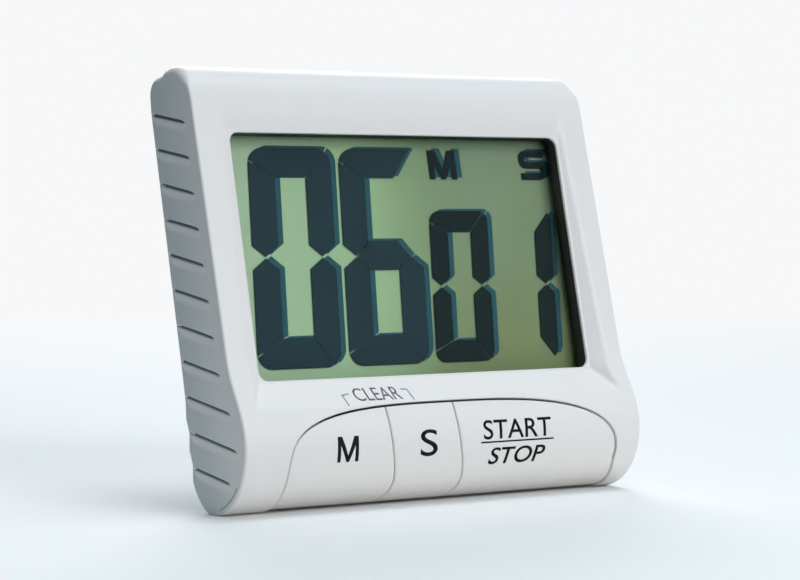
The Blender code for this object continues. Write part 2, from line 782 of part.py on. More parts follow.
def key_cap(name, left, right, centre, finish):
    """One key: a curved cap, a flange behind the case and a stem for the rubber dome."""
    def window(grow, step_in):
        outline = panel_outline(grow)
        outline = clip(outline, lambda p: p[0] - left - step_in)
        return clip(outline, lambda p: right - step_in - p[0])

    depth = PANEL_OPENING_DEPTH - KEY_TRAVEL - KEY_GAP * 2
    band = bulge_curve(KEY_SINK) + bulge_curve(KEY_THICKNESS)[::-1]
    cap = along_x(name, band, left - 3, right + 3, finish)
    shape = along_y("shape", window(-KEY_GAP, 0.0), -OUTSIDE, depth)
    combine(cap, [shape], "INTERSECT")
    start = CASE_WALL + FIT_GAP
    middle = start + KEY_FLANGE_THICKNESS / 2
    end = start + KEY_FLANGE_THICKNESS
    layers = []
    for outside, inside, grow, trim in ((KEY_THICKNESS / 2, middle, -KEY_GAP * 2, KEY_GAP * 2),
                                        (start, end, KEY_FLANGE_REACH, KEY_GAP)):
        band = bulge_curve(outside) + bulge_curve(inside)[::-1]
        layer = along_x("flange", band, left - 3, right + 3)
        shape = clip(window(grow, trim), lambda p: p[1] - KEY_FLANGE_LOW - grow / 4)
        combine(layer, [along_y("reach", shape, -OUTSIDE, depth)], "INTERSECT")
        layers.append(layer)
    stem_tip = KEY_BOARD_FRONT - KEYPAD_THICKNESS - DOME_RISE - FIT_GAP
    stem = along_y("stem", circle(centre, KEY_CENTRE_LEVEL, KEY_STEM_RADIUS, 12), -3.2, stem_tip)
    return join(cap, *layers, stem)


def keys(white):
    """The three keys, each with its origin where its stem meets the dome."""
    half = KEY_GAP / 2
    far = 60.0
    made = []
    spans = {
        "minutes": (-far, MINUTES_EDGE - half),
        "seconds": (MINUTES_EDGE + half, SECONDS_EDGE - half),
        "start_stop": (SECONDS_EDGE + half, far),
    }
    for name, (left, right) in spans.items():
        centre = KEY_CENTRES[name]
        key = key_cap(name + "_key", left, right, centre, white)
        made.append(set_origin(key, centre, KEY_BOARD_FRONT - KEYPAD_THICKNESS, KEY_CENTRE_LEVEL))
    return made


def keypad(rubber, carbon):
    """Rubber sheet with a dome under each key, and the carbon pills inside the domes."""
    back = KEY_BOARD_FRONT - 0.1
    front = back - KEYPAD_THICKNESS
    sheet = box("rubber_keypad", (KEY_BOARD_LEFT + 1, front, KEY_BOARD_BOTTOM + 0.6),
                (KEY_BOARD_RIGHT - 1, back, KEY_BOARD_TOP - 0.3), rubber)
    hollows = []
    domes = []
    pills = []
    for name, x in KEY_CENTRES.items():
        centre = (x, 0, KEY_CENTRE_LEVEL)
        domes.append(turned("dome", [(DOME_RADIUS + 0.3, front + 0.2), (DOME_RADIUS, front - DOME_RISE * 0.6),
                                     (DOME_RADIUS - 0.7, front - DOME_RISE)], centre))
        hollows.append(turned("hollow", [(DOME_RADIUS - 0.1, back + 1), (DOME_RADIUS - 0.1, back - 0.5),
                                         (DOME_RADIUS - 0.9, front - 0.1)], centre))
        pill = [(PILL_RADIUS, front + 0.05), (PILL_RADIUS, front + 0.35)]
        pills.append(turned(name + "_carbon_pill", pill, centre, steps=12, finish=carbon))
    join(sheet, *domes)
    cut(sheet, *hollows)
    return [sheet, *pills]


# Boards

def key_board(green):
    """Narrow board behind the rubber sheet."""
    return box("key_board", (KEY_BOARD_LEFT, KEY_BOARD_FRONT, KEY_BOARD_BOTTOM),
               (KEY_BOARD_RIGHT, KEY_BOARD_FRONT + KEY_BOARD_THICKNESS, KEY_BOARD_TOP), green)


def main_board(green):
    """Board behind the display, with two lower ears for its screws."""
    w = BOARD_HALF_WIDTH
    ear = w - BOARD_EAR
    outline = [(w, BOARD_TOP), (-w, BOARD_TOP), (-w, BOARD_EAR_BOTTOM), (-ear, BOARD_EAR_BOTTOM),
               (-ear, BOARD_BOTTOM), (ear, BOARD_BOTTOM), (ear, BOARD_EAR_BOTTOM), (w, BOARD_EAR_BOTTOM)]
    board = along_y("main_board", outline, BOARD_FRONT, BOARD_BACK, green)
    holes = []
    for x, z in board_screw_spots():
        holes.append(along_y("hole", circle(x, z, SCREW_RADIUS + 0.4, 12), 0, 20))
    return cut(board, *holes)


def board_parts(black, metal, tan):
    """Epoxy dome over the chip, the clock crystal and the small parts."""
    start = BOARD_BACK + 0.1
    blob = turned("chip_blob", [(4.4, start), (4.2, start + 0.5), (3.2, start + 1.1), (1.2, start + 1.5)],
                  (-4.0, 0, -6.0), finish=black)
    crystal = turned("crystal", [(1.0, 0.0), (1.0, 6.0)], (23.5, start + 1.1, -12.0), axis="X",
                     steps=12, finish=metal)
    chips = []
    for name, x, z in (("resistor", -14.0, -12.0), ("capacitor", 10.0, -6.0), ("transistor", 12.0, 3.0)):
        chips.append(box(name, (x - 1.0, start, z - 0.6), (x + 1.0, start + 0.7, z + 0.6), tan))
    return blob, crystal, *chips


def screws(name, spots, seat, length, metal):
    """Pan head screws driven forwards from their seat depth, one for each (x, z)."""
    profile = [(SCREW_RADIUS, seat - length), (SCREW_RADIUS, seat), (SCREW_HEAD_RADIUS, seat),
               (SCREW_HEAD_RADIUS, seat + SCREW_HEAD * 0.6), (SCREW_HEAD_RADIUS * 0.7, seat + SCREW_HEAD)]
    return [turned(f"{name}_{k + 1}", profile, (x, 0, z), steps=12, finish=metal)
            for k, (x, z) in enumerate(spots)]


def battery_lead(name, x, side, finish):
    """Lead from one end of the battery bay up to the main board."""
    back = BATTERY_DEPTH + 2.4
    low = BATTERY_LEVEL + 1.8
    path = [(x, back, low), (x + side * 0.4, back + 0.6, low + 2.6), (x - side * 0.6, back + 0.4, low + 6.0),
            (x - side * 3.6, BOARD_BACK + 0.7, low + 9.0)]
    return sweep(name, path, WIRE_RADIUS, 6, finish)


def wires(red, black, grey):
    """Battery leads, buzzer leads and the flat jumper between the boards."""
    minus = battery_lead("battery_lead_black", BATTERY_LEFT - 6.8, -1, black)
    plus = battery_lead("battery_lead_red", BATTERY_LEFT + BATTERY_LENGTH + 4.4, 1, red)
    leads = []
    for name, side in (("buzzer_lead_left", -1), ("buzzer_lead_right", 1)):
        path = [(side * 1.5, COVER_FRONT - 1.7, BUZZER_LEVEL - 5.0),
                (side * 2.0, BOARD_BACK + 1.3, BUZZER_LEVEL - 6.5),
                (side * 2.2, BOARD_BACK + 0.9, BUZZER_LEVEL - 8.0)]
        leads.append(sweep(name, path, THIN_WIRE_RADIUS, 6, red))
    path = [(KEY_BOARD_FRONT + 0.5, KEY_BOARD_TOP + 0.2), (3.0, BOARD_BOTTOM - 2.2),
            (BOARD_FRONT - 0.7, BOARD_BOTTOM - 1.4), (BOARD_BACK + 0.4, BOARD_BOTTOM - 1.2),
            (BOARD_BACK + 0.6, BOARD_BOTTOM), (BOARD_BACK + 0.6, BOARD_BOTTOM + 2.0)]
    outline = path + [(y + RIBBON_THICKNESS, z - RIBBON_THICKNESS) for y, z in path[::-1]]
    left = BOARD_SCREW_X - 3.6
    ribbon = along_x("key_ribbon", outline, left, left + RIBBON_WIDTH, grey)
    return minus, plus, *leads, ribbon


# Battery

def battery(label):
    """Round cell lying across the bulge, with its nub to the right."""
    length = BATTERY_LENGTH - NUB_LENGTH
    profile = [(BATTERY_RADIUS - 0.5, 0.0), (BATTERY_RADIUS, 0.5), (BATTERY_RADIUS, length - 0.6),
               (BATTERY_RADIUS - 0.6, length), (NUB_RADIUS, length), (NUB_RADIUS, length + NUB_LENGTH)]
    return turned("battery", profile, (BATTERY_LEFT, BATTERY_DEPTH, BATTERY_LEVEL), axis="X",
                  steps=28, finish=label)


def battery_spring(metal):
    """Conical coil at the flat end of the cell."""
    start = BATTERY_LEFT - SPRING_ROOM + 0.5
    path = []
    count = SPRING_TURNS * 12
    for k in range(count + 1):
        share = k / count
        angle = math.tau * SPRING_TURNS * share
        radius = SPRING_BASE_RADIUS + (SPRING_TIP_RADIUS - SPRING_BASE_RADIUS) * share
        path.append((start + SPRING_LENGTH * share, BATTERY_DEPTH + radius * math.cos(angle),
                     BATTERY_LEVEL + radius * math.sin(angle)))
    return sweep("battery_spring", path, SPRING_WIRE, 5, metal)


def battery_contact(metal):
    """Spring leaf at the nub end."""
    start = BATTERY_LEFT + BATTERY_LENGTH + 0.15
    return box("battery_contact", (start, BATTERY_DEPTH - CONTACT_HALF_WIDTH, BATTERY_LEVEL - 3.0),
               (start + CONTACT_THICKNESS, BATTERY_DEPTH + CONTACT_HALF_WIDTH, BATTERY_LEVEL + 3.0),
               metal)


def bay_span():
    """Left and right inner faces of the battery bay."""
    left = BATTERY_LEFT - SPRING_ROOM
    right = BATTERY_LEFT + BATTERY_LENGTH + CONTACT_THICKNESS + 0.4
    return left, right


# Back

def magnet_spots():
    """Centres of the magnets."""
    return [(-MAGNET_X, MAGNET_LEVEL), (MAGNET_X, MAGNET_LEVEL)]


def rear_case(white):
    """Back cover with stand tray, magnet cups, sound holes and the battery bay."""
    side = HALF_WIDTH - CASE_WALL - FIT_GAP
    top = BACK_OPENING_TOP - FIT_GAP
    low = BACK_OPENING_BOTTOM + FIT_GAP
    cover = along_y("rear_case", rounded_rectangle(-side, side, low, top, 1.5),
                    COVER_FRONT, CASE_DEPTH, white)

    half_tray = STAND_WIDTH / 2 + STAND_GAP
    tray_low = HINGE_LEVEL - HINGE_ROOM
    tray_top = HINGE_LEVEL + STAND_LENGTH + STAND_GAP
    tray_back = CASE_DEPTH - TRAY_DEPTH
    added = [box("tray", (-half_tray - TRAY_WALL, tray_back - TRAY_FLOOR, tray_low - TRAY_WALL),
                 (half_tray + TRAY_WALL, COVER_FRONT + 0.2, tray_top + TRAY_WALL))]
    removed = [box("pocket", (-half_tray, tray_back, tray_low), (half_tray, CASE_DEPTH + 1, tray_top))]
    removed.append(along_y("notch", circle(0, tray_top, NOTCH_RADIUS, 20), tray_back, CASE_DEPTH + 1))
    added.append(along_y("notch_wall", circle(0, tray_top, NOTCH_RADIUS + TRAY_WALL, 20),
                         tray_back - TRAY_FLOOR, COVER_FRONT + 0.2))
    for x, z in magnet_spots():
        cup = MAGNET_RADIUS + FIT_GAP
        floor = CASE_DEPTH + MAGNET_PROUD - MAGNET_THICKNESS - 0.15
        added.append(along_y("cup", circle(x, z, cup + MAGNET_CUP, 32), floor - 0.9, COVER_FRONT + 0.2))
        removed.append(along_y("seat", circle(x, z, cup, 32), floor, CASE_DEPTH + 1))

    left, right = bay_span()
    bay_top = BATTERY_LEVEL + BATTERY_RADIUS + 0.35
    added.append(box("bay", (left - BAY_WALL, BAY_FRONT, low),
                     (right + BAY_WALL, COVER_FRONT + 0.2, bay_top + 0.8)))
    join(cover, *added)
    removed.append(box("bay_inside", (left, BAY_FRONT - 1, low - 1), (right, CASE_DEPTH + 1, bay_top)))
    for x, z in case_screw_spots():
        removed.append(along_y("clear", circle(x, z, SCREW_RADIUS + 0.5, 12), 9, CASE_DEPTH + 1))
        removed.append(along_y("seat", circle(x, z, SCREW_HEAD_RADIUS + 0.35, 16),
                               CASE_DEPTH - SCREW_SEAT, CASE_DEPTH + 1))
    removed.append(along_y("sound", circle(0, BUZZER_LEVEL, SOUND_HOLE_RADIUS, 10), 9, CASE_DEPTH + 1))
    for k in range(SOUND_COUNT):
        angle = math.tau * k / SOUND_COUNT
        spot = (SOUND_RING * math.cos(angle), BUZZER_LEVEL + SOUND_RING * math.sin(angle))
        removed.append(along_y("sound", circle(*spot, SOUND_HOLE_RADIUS, 10), 9, CASE_DEPTH + 1))
    pin_low = STAND_WIDTH / 2 + STAND_GAP + TRAY_WALL - PIN_LENGTH
    for side_sign in (-1, 1):
        ends = sorted((side_sign * pin_low, side_sign * (pin_low + PIN_LENGTH + 1)))
        removed.append(along_x("pin_hole", circle(HINGE_DEPTH, HINGE_LEVEL, PIN_RADIUS + 0.1, 12), *ends))
    cut(cover, *removed)
    return cover


def battery_lid(white):
    """Lid of the battery bay, round along its lower edge where it turns."""
    left, right = bay_span()
    half = LID_THICKNESS / 2
    axis_y = CASE_DEPTH - half
    axis_z = BACK_OPENING_BOTTOM + FIT_GAP + half
    outline = [(axis_y - half, LID_TOP), (axis_y - half, axis_z)]
    for k in range(1, 8):
        angle = math.radians(180 + 180 * k / 8)
        outline.append((axis_y + half * math.cos(angle), axis_z + half * math.sin(angle)))
    outline += [(axis_y + half, axis_z), (axis_y + half, LID_TOP)]
    lid = along_x("battery_lid", outline, left + FIT_GAP, right - FIT_GAP, white)
    grips = []
    for k in range(GRIP_COUNT):
        z = LID_TOP - 2.0 - GRIP_PITCH * k
        grips.append(box("grip", (-GRIP_HALF_WIDTH, CASE_DEPTH - GRIP_DEPTH, z - GRIP_PITCH / 4),
                         (GRIP_HALF_WIDTH, CASE_DEPTH + 1, z + GRIP_PITCH / 4)))
    cut(lid, *grips)
    return set_origin(lid, 0, axis_y, axis_z)


def stand_angle():
    """How far the stand opens until its round tip meets the floor."""
    hinge = height_above_floor(HINGE_DEPTH, HINGE_LEVEL)
    half = STAND_THICKNESS / 2
    from_vertical = math.acos((hinge - half) / (STAND_LENGTH - half))
    return math.pi - LEAN - from_vertical


def stand(white):
    """Fold-out leg, modelled folded flat and then turned open about its hinge."""
    half = STAND_THICKNESS / 2
    half_width = STAND_WIDTH / 2
    tip = STAND_LENGTH - half
    outline = [(-half_width, 0.0), (half_width, 0.0)]
    for k in range(0, 6):
        angle = math.radians(90 * k / 5)
        outline.append((half_width - STAND_TIP_RADIUS * (1 - math.cos(angle)),
                        tip - STAND_TIP_RADIUS * (1 - math.sin(angle))))
    for k in range(5, -1, -1):
        angle = math.radians(90 * k / 5)
        outline.append((-half_width + STAND_TIP_RADIUS * (1 - math.cos(angle)),
                        tip - STAND_TIP_RADIUS * (1 - math.sin(angle))))
    leg = along_y("stand", outline, -half, half, white)
    barrel = along_x("barrel", circle(0, 0, half + 0.25, 20), -half_width, half_width)
    foot_half = half_width - STAND_TIP_RADIUS
    foot = along_x("foot", circle(0, tip, half, 16), -foot_half, foot_half)
    join(leg, barrel, foot)
    removed = []
    for side_sign in (-1, 1):
        ends = sorted((side_sign * (half_width - PIN_LENGTH + 0.5), side_sign * (half_width + 1)))
        removed.append(along_x("pin_hole", circle(0, 0, PIN_RADIUS + PIN_PLAY, 12), *ends))
    groove_half = half_width - 5.0
    for z in (tip - 7.5, tip - 10.5):
        removed.append(box("groove", (-groove_half, half - STAND_GROOVE, z - 0.6),
                           (groove_half, half + 1, z + 0.6)))
    cut(leg, *removed)
    leg.rotation_euler.x = -stand_angle()
    leg.location = Vector((0, HINGE_DEPTH, HINGE_LEVEL)) * MM
    return leg


def stand_pins(metal):
    """Two short steel pins that carry the stand."""
    inner = STAND_WIDTH / 2 + STAND_GAP + TRAY_WALL - PIN_LENGTH
    pins = []
    for side_sign in (-1, 1):
        ends = sorted((side_sign * inner, side_sign * (inner + PIN_LENGTH)))
        name = "stand_pin_left" if side_sign < 0 else "stand_pin_right"
        pins.append(along_x(name, circle(HINGE_DEPTH, HINGE_LEVEL, PIN_RADIUS, 12), *ends, metal))
    return pins


def magnets(dark):
    """Two round magnets, a little proud of the back."""
    made = []
    back = CASE_DEPTH + MAGNET_PROUD
    for name, (x, z) in zip(("left_magnet", "right_magnet"), magnet_spots()):
        made.append(along_y(name, circle(x, z, MAGNET_RADIUS, 32), back - MAGNET_THICKNESS, back, dark))
    return made


def buzzer(brass):
    """Piezo disc glued behind the sound holes."""
    back = COVER_FRONT - 0.3
    plate = back - BUZZER_THICKNESS / 2
    profile = [(BUZZER_RADIUS, back - BUZZER_THICKNESS), (BUZZER_RADIUS, plate),
               (BUZZER_RADIUS - 2.0, plate), (BUZZER_RADIUS - 2.0, back)]
    return turned("piezo_buzzer", profile, (0, 0, BUZZER_LEVEL), steps=28, finish=brass)


# Assembly

def stand_on_floor(parts):
    """Lean the case back on its stand, with the box of the whole timer centred over the origin."""
    holder = bpy.data.objects.new("timer", None)
    bpy.context.scene.collection.objects.link(holder)
    turn = Matrix.Rotation(-LEAN, 4, "X")
    depths = []
    for part in parts:
        part.parent = holder
        place = turn @ Matrix.Translation(part.location) @ part.rotation_euler.to_matrix().to_4x4()
        depths += [(place @ corner.co).y for corner in part.data.vertices]
    holder.rotation_euler.x = -LEAN
    holder.location = (0, -(min(depths) + max(depths)) / 2, floor_level() * MM)
    bpy.context.view_layer.update()


for old in list(bpy.data.objects):
    bpy.data.objects.remove(old)

WHITE = material("white_plastic", (0.80, 0.81, 0.83), 0.38)
BLACK = material("black_plastic", (0.02, 0.02, 0.02), 0.5)
CLEAR = material("clear_acrylic", (0.9, 0.95, 0.92), 0.05)
SILVER = material("reflector", (0.36, 0.45, 0.27), 0.45)
INK = material("display_ink", (0.03, 0.05, 0.07), 0.4)
GREY = material("grey_rubber", (0.35, 0.35, 0.36), 0.7)
RUBBER = material("translucent_rubber", (0.75, 0.75, 0.72), 0.6)
GREEN = material("board", (0.05, 0.22, 0.10), 0.45)
METAL = material("steel", (0.62, 0.62, 0.60), 0.3, 1.0)
BRASS = material("brass", (0.70, 0.52, 0.22), 0.3, 1.0)
TAN = material("chip_tan", (0.45, 0.33, 0.22), 0.5)
RED = material("red_insulation", (0.6, 0.03, 0.03), 0.5)
LABEL = material("battery_jacket", (0.10, 0.11, 0.12), 0.35, 0.4)
FERRITE = material("ferrite", (0.05, 0.05, 0.055), 0.55)

timer_parts = [
    front_case(WHITE),
    rear_case(WHITE),
    bezel(BLACK),
    lens(CLEAR),
    *display_glass(CLEAR, SILVER),
    display_segments(INK),
    zebra_strip(GREY),
    *keys(WHITE),
    *keypad(RUBBER, BLACK),
    key_board(GREEN),
    main_board(GREEN),
    *board_parts(BLACK, METAL, TAN),
    *screws("board_screw", board_screw_spots(), BOARD_BACK + 0.1, BOARD_SCREW_LENGTH, METAL),
    *screws("case_screw", case_screw_spots(), CASE_DEPTH - SCREW_SEAT + 0.1, SCREW_LENGTH, METAL),
    *wires(RED, BLACK, GREY),
    battery(LABEL),
    battery_spring(METAL),
    battery_contact(METAL),
    battery_lid(WHITE),
    stand(WHITE),
    *stand_pins(METAL),
    *magnets(FERRITE),
    buzzer(BRASS),
]
stand_on_floor(timer_parts)
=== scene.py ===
import json
import math

import bmesh
import bpy
import numpy as np
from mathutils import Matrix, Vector


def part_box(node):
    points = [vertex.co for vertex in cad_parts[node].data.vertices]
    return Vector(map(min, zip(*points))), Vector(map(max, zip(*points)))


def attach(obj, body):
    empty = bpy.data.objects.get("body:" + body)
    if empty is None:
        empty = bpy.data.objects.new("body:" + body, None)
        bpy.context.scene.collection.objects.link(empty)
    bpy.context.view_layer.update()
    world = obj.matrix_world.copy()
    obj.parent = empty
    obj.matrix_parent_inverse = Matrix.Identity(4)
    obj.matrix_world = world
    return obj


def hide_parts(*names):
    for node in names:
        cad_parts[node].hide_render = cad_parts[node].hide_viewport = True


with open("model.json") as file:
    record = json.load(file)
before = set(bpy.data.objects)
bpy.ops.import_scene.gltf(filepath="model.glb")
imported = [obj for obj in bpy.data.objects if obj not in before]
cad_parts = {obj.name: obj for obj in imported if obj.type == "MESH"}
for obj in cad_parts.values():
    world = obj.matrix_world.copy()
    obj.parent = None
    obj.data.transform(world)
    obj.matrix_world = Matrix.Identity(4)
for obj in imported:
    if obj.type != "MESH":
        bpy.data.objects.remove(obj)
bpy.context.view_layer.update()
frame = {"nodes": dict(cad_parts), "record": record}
nodes = frame["nodes"]
print("frame loaded:", len(nodes), "nodes")

mm = 0.001

# The case frame is in millimetres: x to the right, y into the case from the window's front plane,
# z up along the display. The window pane's centre shows where that frame stands on the floor.
stance = {"lean": math.radians(13.4), "paneDepth": 2.5}
paneLow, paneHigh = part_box("display_window")
leanCos = math.cos(stance["lean"])
leanSin = math.sin(stance["lean"])
baseY = (paneLow.y + paneHigh.y) / 2 / mm - stance["paneDepth"] * leanCos
baseZ = (paneLow.z + paneHigh.z) / 2 / mm + stance["paneDepth"] * leanSin


def toRow(points):  # turns case millimetres back by the lean and shifts them: row metres
    points = np.asarray(points, float)
    x, y, z = points[..., 0], points[..., 1], points[..., 2]
    return np.stack([x, y * leanCos + z * leanSin + baseY, -y * leanSin + z * leanCos + baseZ], -1) * mm


def placed(name, data):  # an object that carries this data, linked to the scene
    made = bpy.data.objects.new(name, data)
    bpy.context.scene.collection.objects.link(made)
    return made


def makeMesh(name, points, faces, body, smooth=35.0):  # one object from points and faces, riding on a body
    data = bpy.data.meshes.new(name)
    data.from_pydata(points.tolist(), [], faces)
    data.update()
    made = placed(name, data)
    shadeByAngle(made, smooth)
    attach(made, body)
    return made


def shadeByAngle(piece, degrees):  # smooth, apart from edges that turn by more than the angle
    if degrees:
        piece.data.shade_smooth()
        piece.data.set_sharp_from_angle(angle=math.radians(degrees))


def gridFaces(rows, columns, closed=False):  # quads between neighbouring grid points, row by row
    last = columns if closed else columns - 1
    r, c = np.meshgrid(np.arange(rows - 1), np.arange(last), indexing="ij")
    after = (c + 1) % columns
    quads = np.stack([r * columns + c, r * columns + after, (r + 1) * columns + after, (r + 1) * columns + c], -1)
    return quads.reshape(-1, 4).tolist()


def loftRings(rings):  # rings (n, m, 3) joined ring to ring, with a flat face on the first and last
    count, around = rings.shape[:2]
    faces = gridFaces(count, around, closed=True)
    faces.append(list(range(around))[::-1])
    faces.append(list(range((count - 1) * around, count * around)))
    return rings.reshape(-1, 3), faces


def solid(name, rings, body="case", smooth=35.0, place=toRow):  # lofted rings as one closed body, set in place
    points, faces = loftRings(np.asarray(rings, float))
    made = makeMesh(name, place(points), faces, body, smooth)
    outward(made)
    return made


def edit(data, work):  # one piece of bmesh work done on plain mesh data
    mesh = bmesh.new()
    mesh.from_mesh(data)
    work(mesh)
    mesh.to_mesh(data)
    mesh.free()
    return data


def outward(piece):  # turns each face to the outside
    edit(piece.data, lambda mesh: bmesh.ops.recalc_face_normals(mesh, faces=mesh.faces))


def weld(data, reach):  # joins points that lie closer together than the reach
    return edit(data, lambda mesh: bmesh.ops.remove_doubles(mesh, verts=mesh.verts, dist=reach))


def readPoints(data):  # a mesh's vertices as an array
    spots = np.empty(len(data.vertices) * 3)
    data.vertices.foreach_get("co", spots)
    return spots.reshape(-1, 3)


def writePoints(data, spots):  # the array back into the mesh
    data.vertices.foreach_set("co", spots.ravel())
    data.update()


def cutAway(piece, cutters, operation="DIFFERENCE"):  # the piece less (or with) each cutter, as plain mesh
    for cutter in cutters:
        step = piece.modifiers.new("cut", "BOOLEAN")
        step.operation = operation
        step.solver = "EXACT"
        step.object = cutter
    graph = bpy.context.evaluated_depsgraph_get()
    result = bpy.data.meshes.new_from_object(piece.evaluated_get(graph), depsgraph=graph)
    piece.modifiers.clear()
    piece.data = result
    for cutter in cutters:
        bpy.data.objects.remove(cutter)


def settleNormals(piece, degrees=35.0):  # big flat faces keep flat normals beside narrow rounded strips
    shadeByAngle(piece, degrees)
    weigh = piece.modifiers.new("weigh", "WEIGHTED_NORMAL")
    weigh.keep_sharp = True
    weigh.weight = 80


def prism(outline, front, back):  # an (x, z) outline carried from one depth to another
    outline = np.asarray(outline, float)
    rings = []
    for y in (front, back):
        rings.append(np.column_stack([outline[:, 0], np.full(len(outline), y), outline[:, 1]]))
    return np.array(rings)


def roundedRect(halfX, low, high, radius, steps=8, right=0.0):  # quarter-circle corners, counter-clockwise
    turns = np.linspace(0, np.pi / 2, steps + 1)
    points = []
    for sideX, sideZ, start in ((1, high, 0), (-1, high, 1), (-1, low, 2), (1, low, 3)):
        middleZ = sideZ - radius if sideZ == high else sideZ + radius
        middleX = sideX * (halfX - radius) + (right if sideX > 0 else 0.0)
        angle = turns + start * np.pi / 2
        points.append(np.column_stack([middleX + radius * np.cos(angle), middleZ + radius * np.sin(angle)]))
    return np.vstack(points)


def blendStep(value):  # 0 below 0, 1 above 1, smooth between
    value = np.clip(value, 0.0, 1.0)
    return value * value * (3 - 2 * value)


def softMax(a, b, size):  # the larger, with a rounded crease of that size
    share = np.clip(0.5 + 0.5 * (a - b) / size, 0, 1)
    return b + (a - b) * share + size * share * (1 - share)


def softMin(a, b, size):  # the smaller, rounded the same way
    return -softMax(-a, -b, size)


class Wire:  # a socket; each sign between two of them makes one Math node
    def __init__(self, shade, socket):
        self.shade = shade
        self.socket = socket

    def maths(self, operation, other, swap=False):  # this and the other value under one operation
        pair = [other, self] if swap else [self, other]
        return self.shade.add("ShaderNodeMath", {"operation": operation}, {0: pair[0], 1: pair[1]})

    def __add__(self, other):
        return self.maths("ADD", other)

    def __radd__(self, other):
        return self.maths("ADD", other, True)

    def __sub__(self, other):
        return self.maths("SUBTRACT", other)

    def __rsub__(self, other):
        return self.maths("SUBTRACT", other, True)

    def __mul__(self, other):
        return self.maths("MULTIPLY", other)

    def __rmul__(self, other):
        return self.maths("MULTIPLY", other, True)

    def __truediv__(self, other):
        return self.maths("DIVIDE", other)

    def clamp(self, low, high):  # held between two values
        return self.shade.add("ShaderNodeClamp", {}, {"Value": self, "Min": low, "Max": high})

    def of(self, name):  # another output of the same node
        return Wire(self.shade, self.socket.node.outputs[name])

    def above(self, other):  # the larger of the two
        return self.maths("MAXIMUM", other)

    def absolute(self):  # without its sign
        return self.shade.add("ShaderNodeMath", {"operation": "ABSOLUTE"}, {0: self})


class Shade:  # one material: its nodes, with constants on the shader's own sockets
    def __init__(self, name, colour, roughness, **fixed):
        self.material = bpy.data.materials.new(name)
        self.material.use_nodes = True
        self.tree = self.material.node_tree
        self.shader = self.tree.nodes["Principled BSDF"]
        self.put("Base Color", (*colour, 1.0))
        self.put("Roughness", roughness)
        for key, value in fixed.items():
            self.put(key.replace("_", " "), value)

    def put(self, name, value):  # a value or wire into an input of the shader
        self.join(self.shader.inputs[name], value)

    def join(self, socket, value):  # a wire is linked, a value is set
        if isinstance(value, Wire):
            self.tree.links.new(value.socket, socket)
        elif isinstance(value, (tuple, list)) and len(value) == 3 and len(socket.default_value) == 4:
            socket.default_value = (*value, 1.0)
        else:
            socket.default_value = value

    def add(self, kind, settings=None, values=None, output=0):  # any node: settings first, then its values
        made = self.tree.nodes.new(kind)
        for key, value in (settings or {}).items():
            if key == "stops":
                ramp = made.color_ramp
                while len(ramp.elements) < len(value):
                    ramp.elements.new(0.5)
                for element, (place, tone) in zip(ramp.elements, value):
                    element.position = place
                    element.color = (*tone, 1.0) if isinstance(tone, (tuple, list)) else (tone, tone, tone, 1.0)
            else:
                setattr(made, key, value)
        for key, value in (values or {}).items():
            self.join(made.inputs[key], value)
        return Wire(self, made.outputs[output])

    def here(self):  # Object coordinates, in metres
        return self.add("ShaderNodeTexCoord", output="Object")

    def noise(self, scale, detail=2.0, roughness=0.5, where=None):  # cloud noise, about 1/scale metres wide
        values = {"Vector": where or self.here(), "Scale": scale, "Detail": detail, "Roughness": roughness}
        return self.add("ShaderNodeTexNoise", {}, values)

    def ramp(self, value, stops):  # a colour by its place between stops
        return self.add("ShaderNodeValToRGB", {"stops": stops}, {"Fac": value})

    def mix(self, share, a, b):  # a where the share is 0, b where it is 1
        made = self.tree.nodes.new("ShaderNodeMix")
        made.data_type = "RGBA"
        self.join(made.inputs["Factor"], share)
        for key, value in ((6, a), (7, b)):
            self.join(made.inputs[key], value)
        return Wire(self, made.outputs[2])

    def bump(self, height, distance, strength=1.0, normal=None):  # a normal tipped by the height's slope
        values = {"Height": height, "Distance": distance, "Strength": strength}
        if normal:
            values["Normal"] = normal
        return self.add("ShaderNodeBump", {}, values)

    def softEdges(self, radius):  # a normal that rounds edges by the radius
        return self.add("ShaderNodeBevel", {"samples": 6}, {"Radius": radius})

    def relief(self, height, finish):  # the finish's grain over its rounded edges, as the shader's normal
        soft = self.softEdges(finish["edge"] * mm)
        self.put("Normal", self.bump(height, finish["grain"] * mm, finish["bumpShare"], soft))

    def rubbed(self, radius, gain=5.0):  # 1 on edges: how far the rounded normal turns from the plain one
        plain = self.add("ShaderNodeNewGeometry", output="Normal")
        turned = self.add("ShaderNodeVectorMath", {"operation": "DOT_PRODUCT"},
                          {0: self.softEdges(radius), 1: plain}, "Value")
        return ((1 - turned) * gain).clamp(0.0, 1.0)

    def stretched(self, scale):  # Object coordinates squeezed or drawn out along the axes
        return self.add("ShaderNodeMapping", {}, {"Vector": self.here(), "Scale": scale})


def blendShaders(tree, share, first, second, output):  # first where the share is 0, second where it is 1
    mixer = tree.nodes.new("ShaderNodeMixShader")
    for socket, source in zip(mixer.inputs, (share, first, second)):
        tree.links.new(source, socket)
    tree.links.new(mixer.outputs[0], output.inputs["Surface"])


def outputOf(tree, kind):  # the tree's own output node
    return next(n for n in tree.nodes if n.type == kind)


def dress(piece, shade):  # the piece wears this one material
    piece.data.materials.clear()
    piece.data.materials.append(shade.material)
    return piece


mouldFinish = {"cloudScale": 45.0, "cloudDetail": (3.0, 0.55), "fineScale": 2600.0, "fineDetail": (2.0, 0.6),
               "wearReach": 0.25, "wearShare": 0.6, "wearGloss": 0.08, "brighter": (1.06, 0.01),
               "fineSpread": 0.16, "cloudSpread": 0.10, "bumpShare": 0.5}


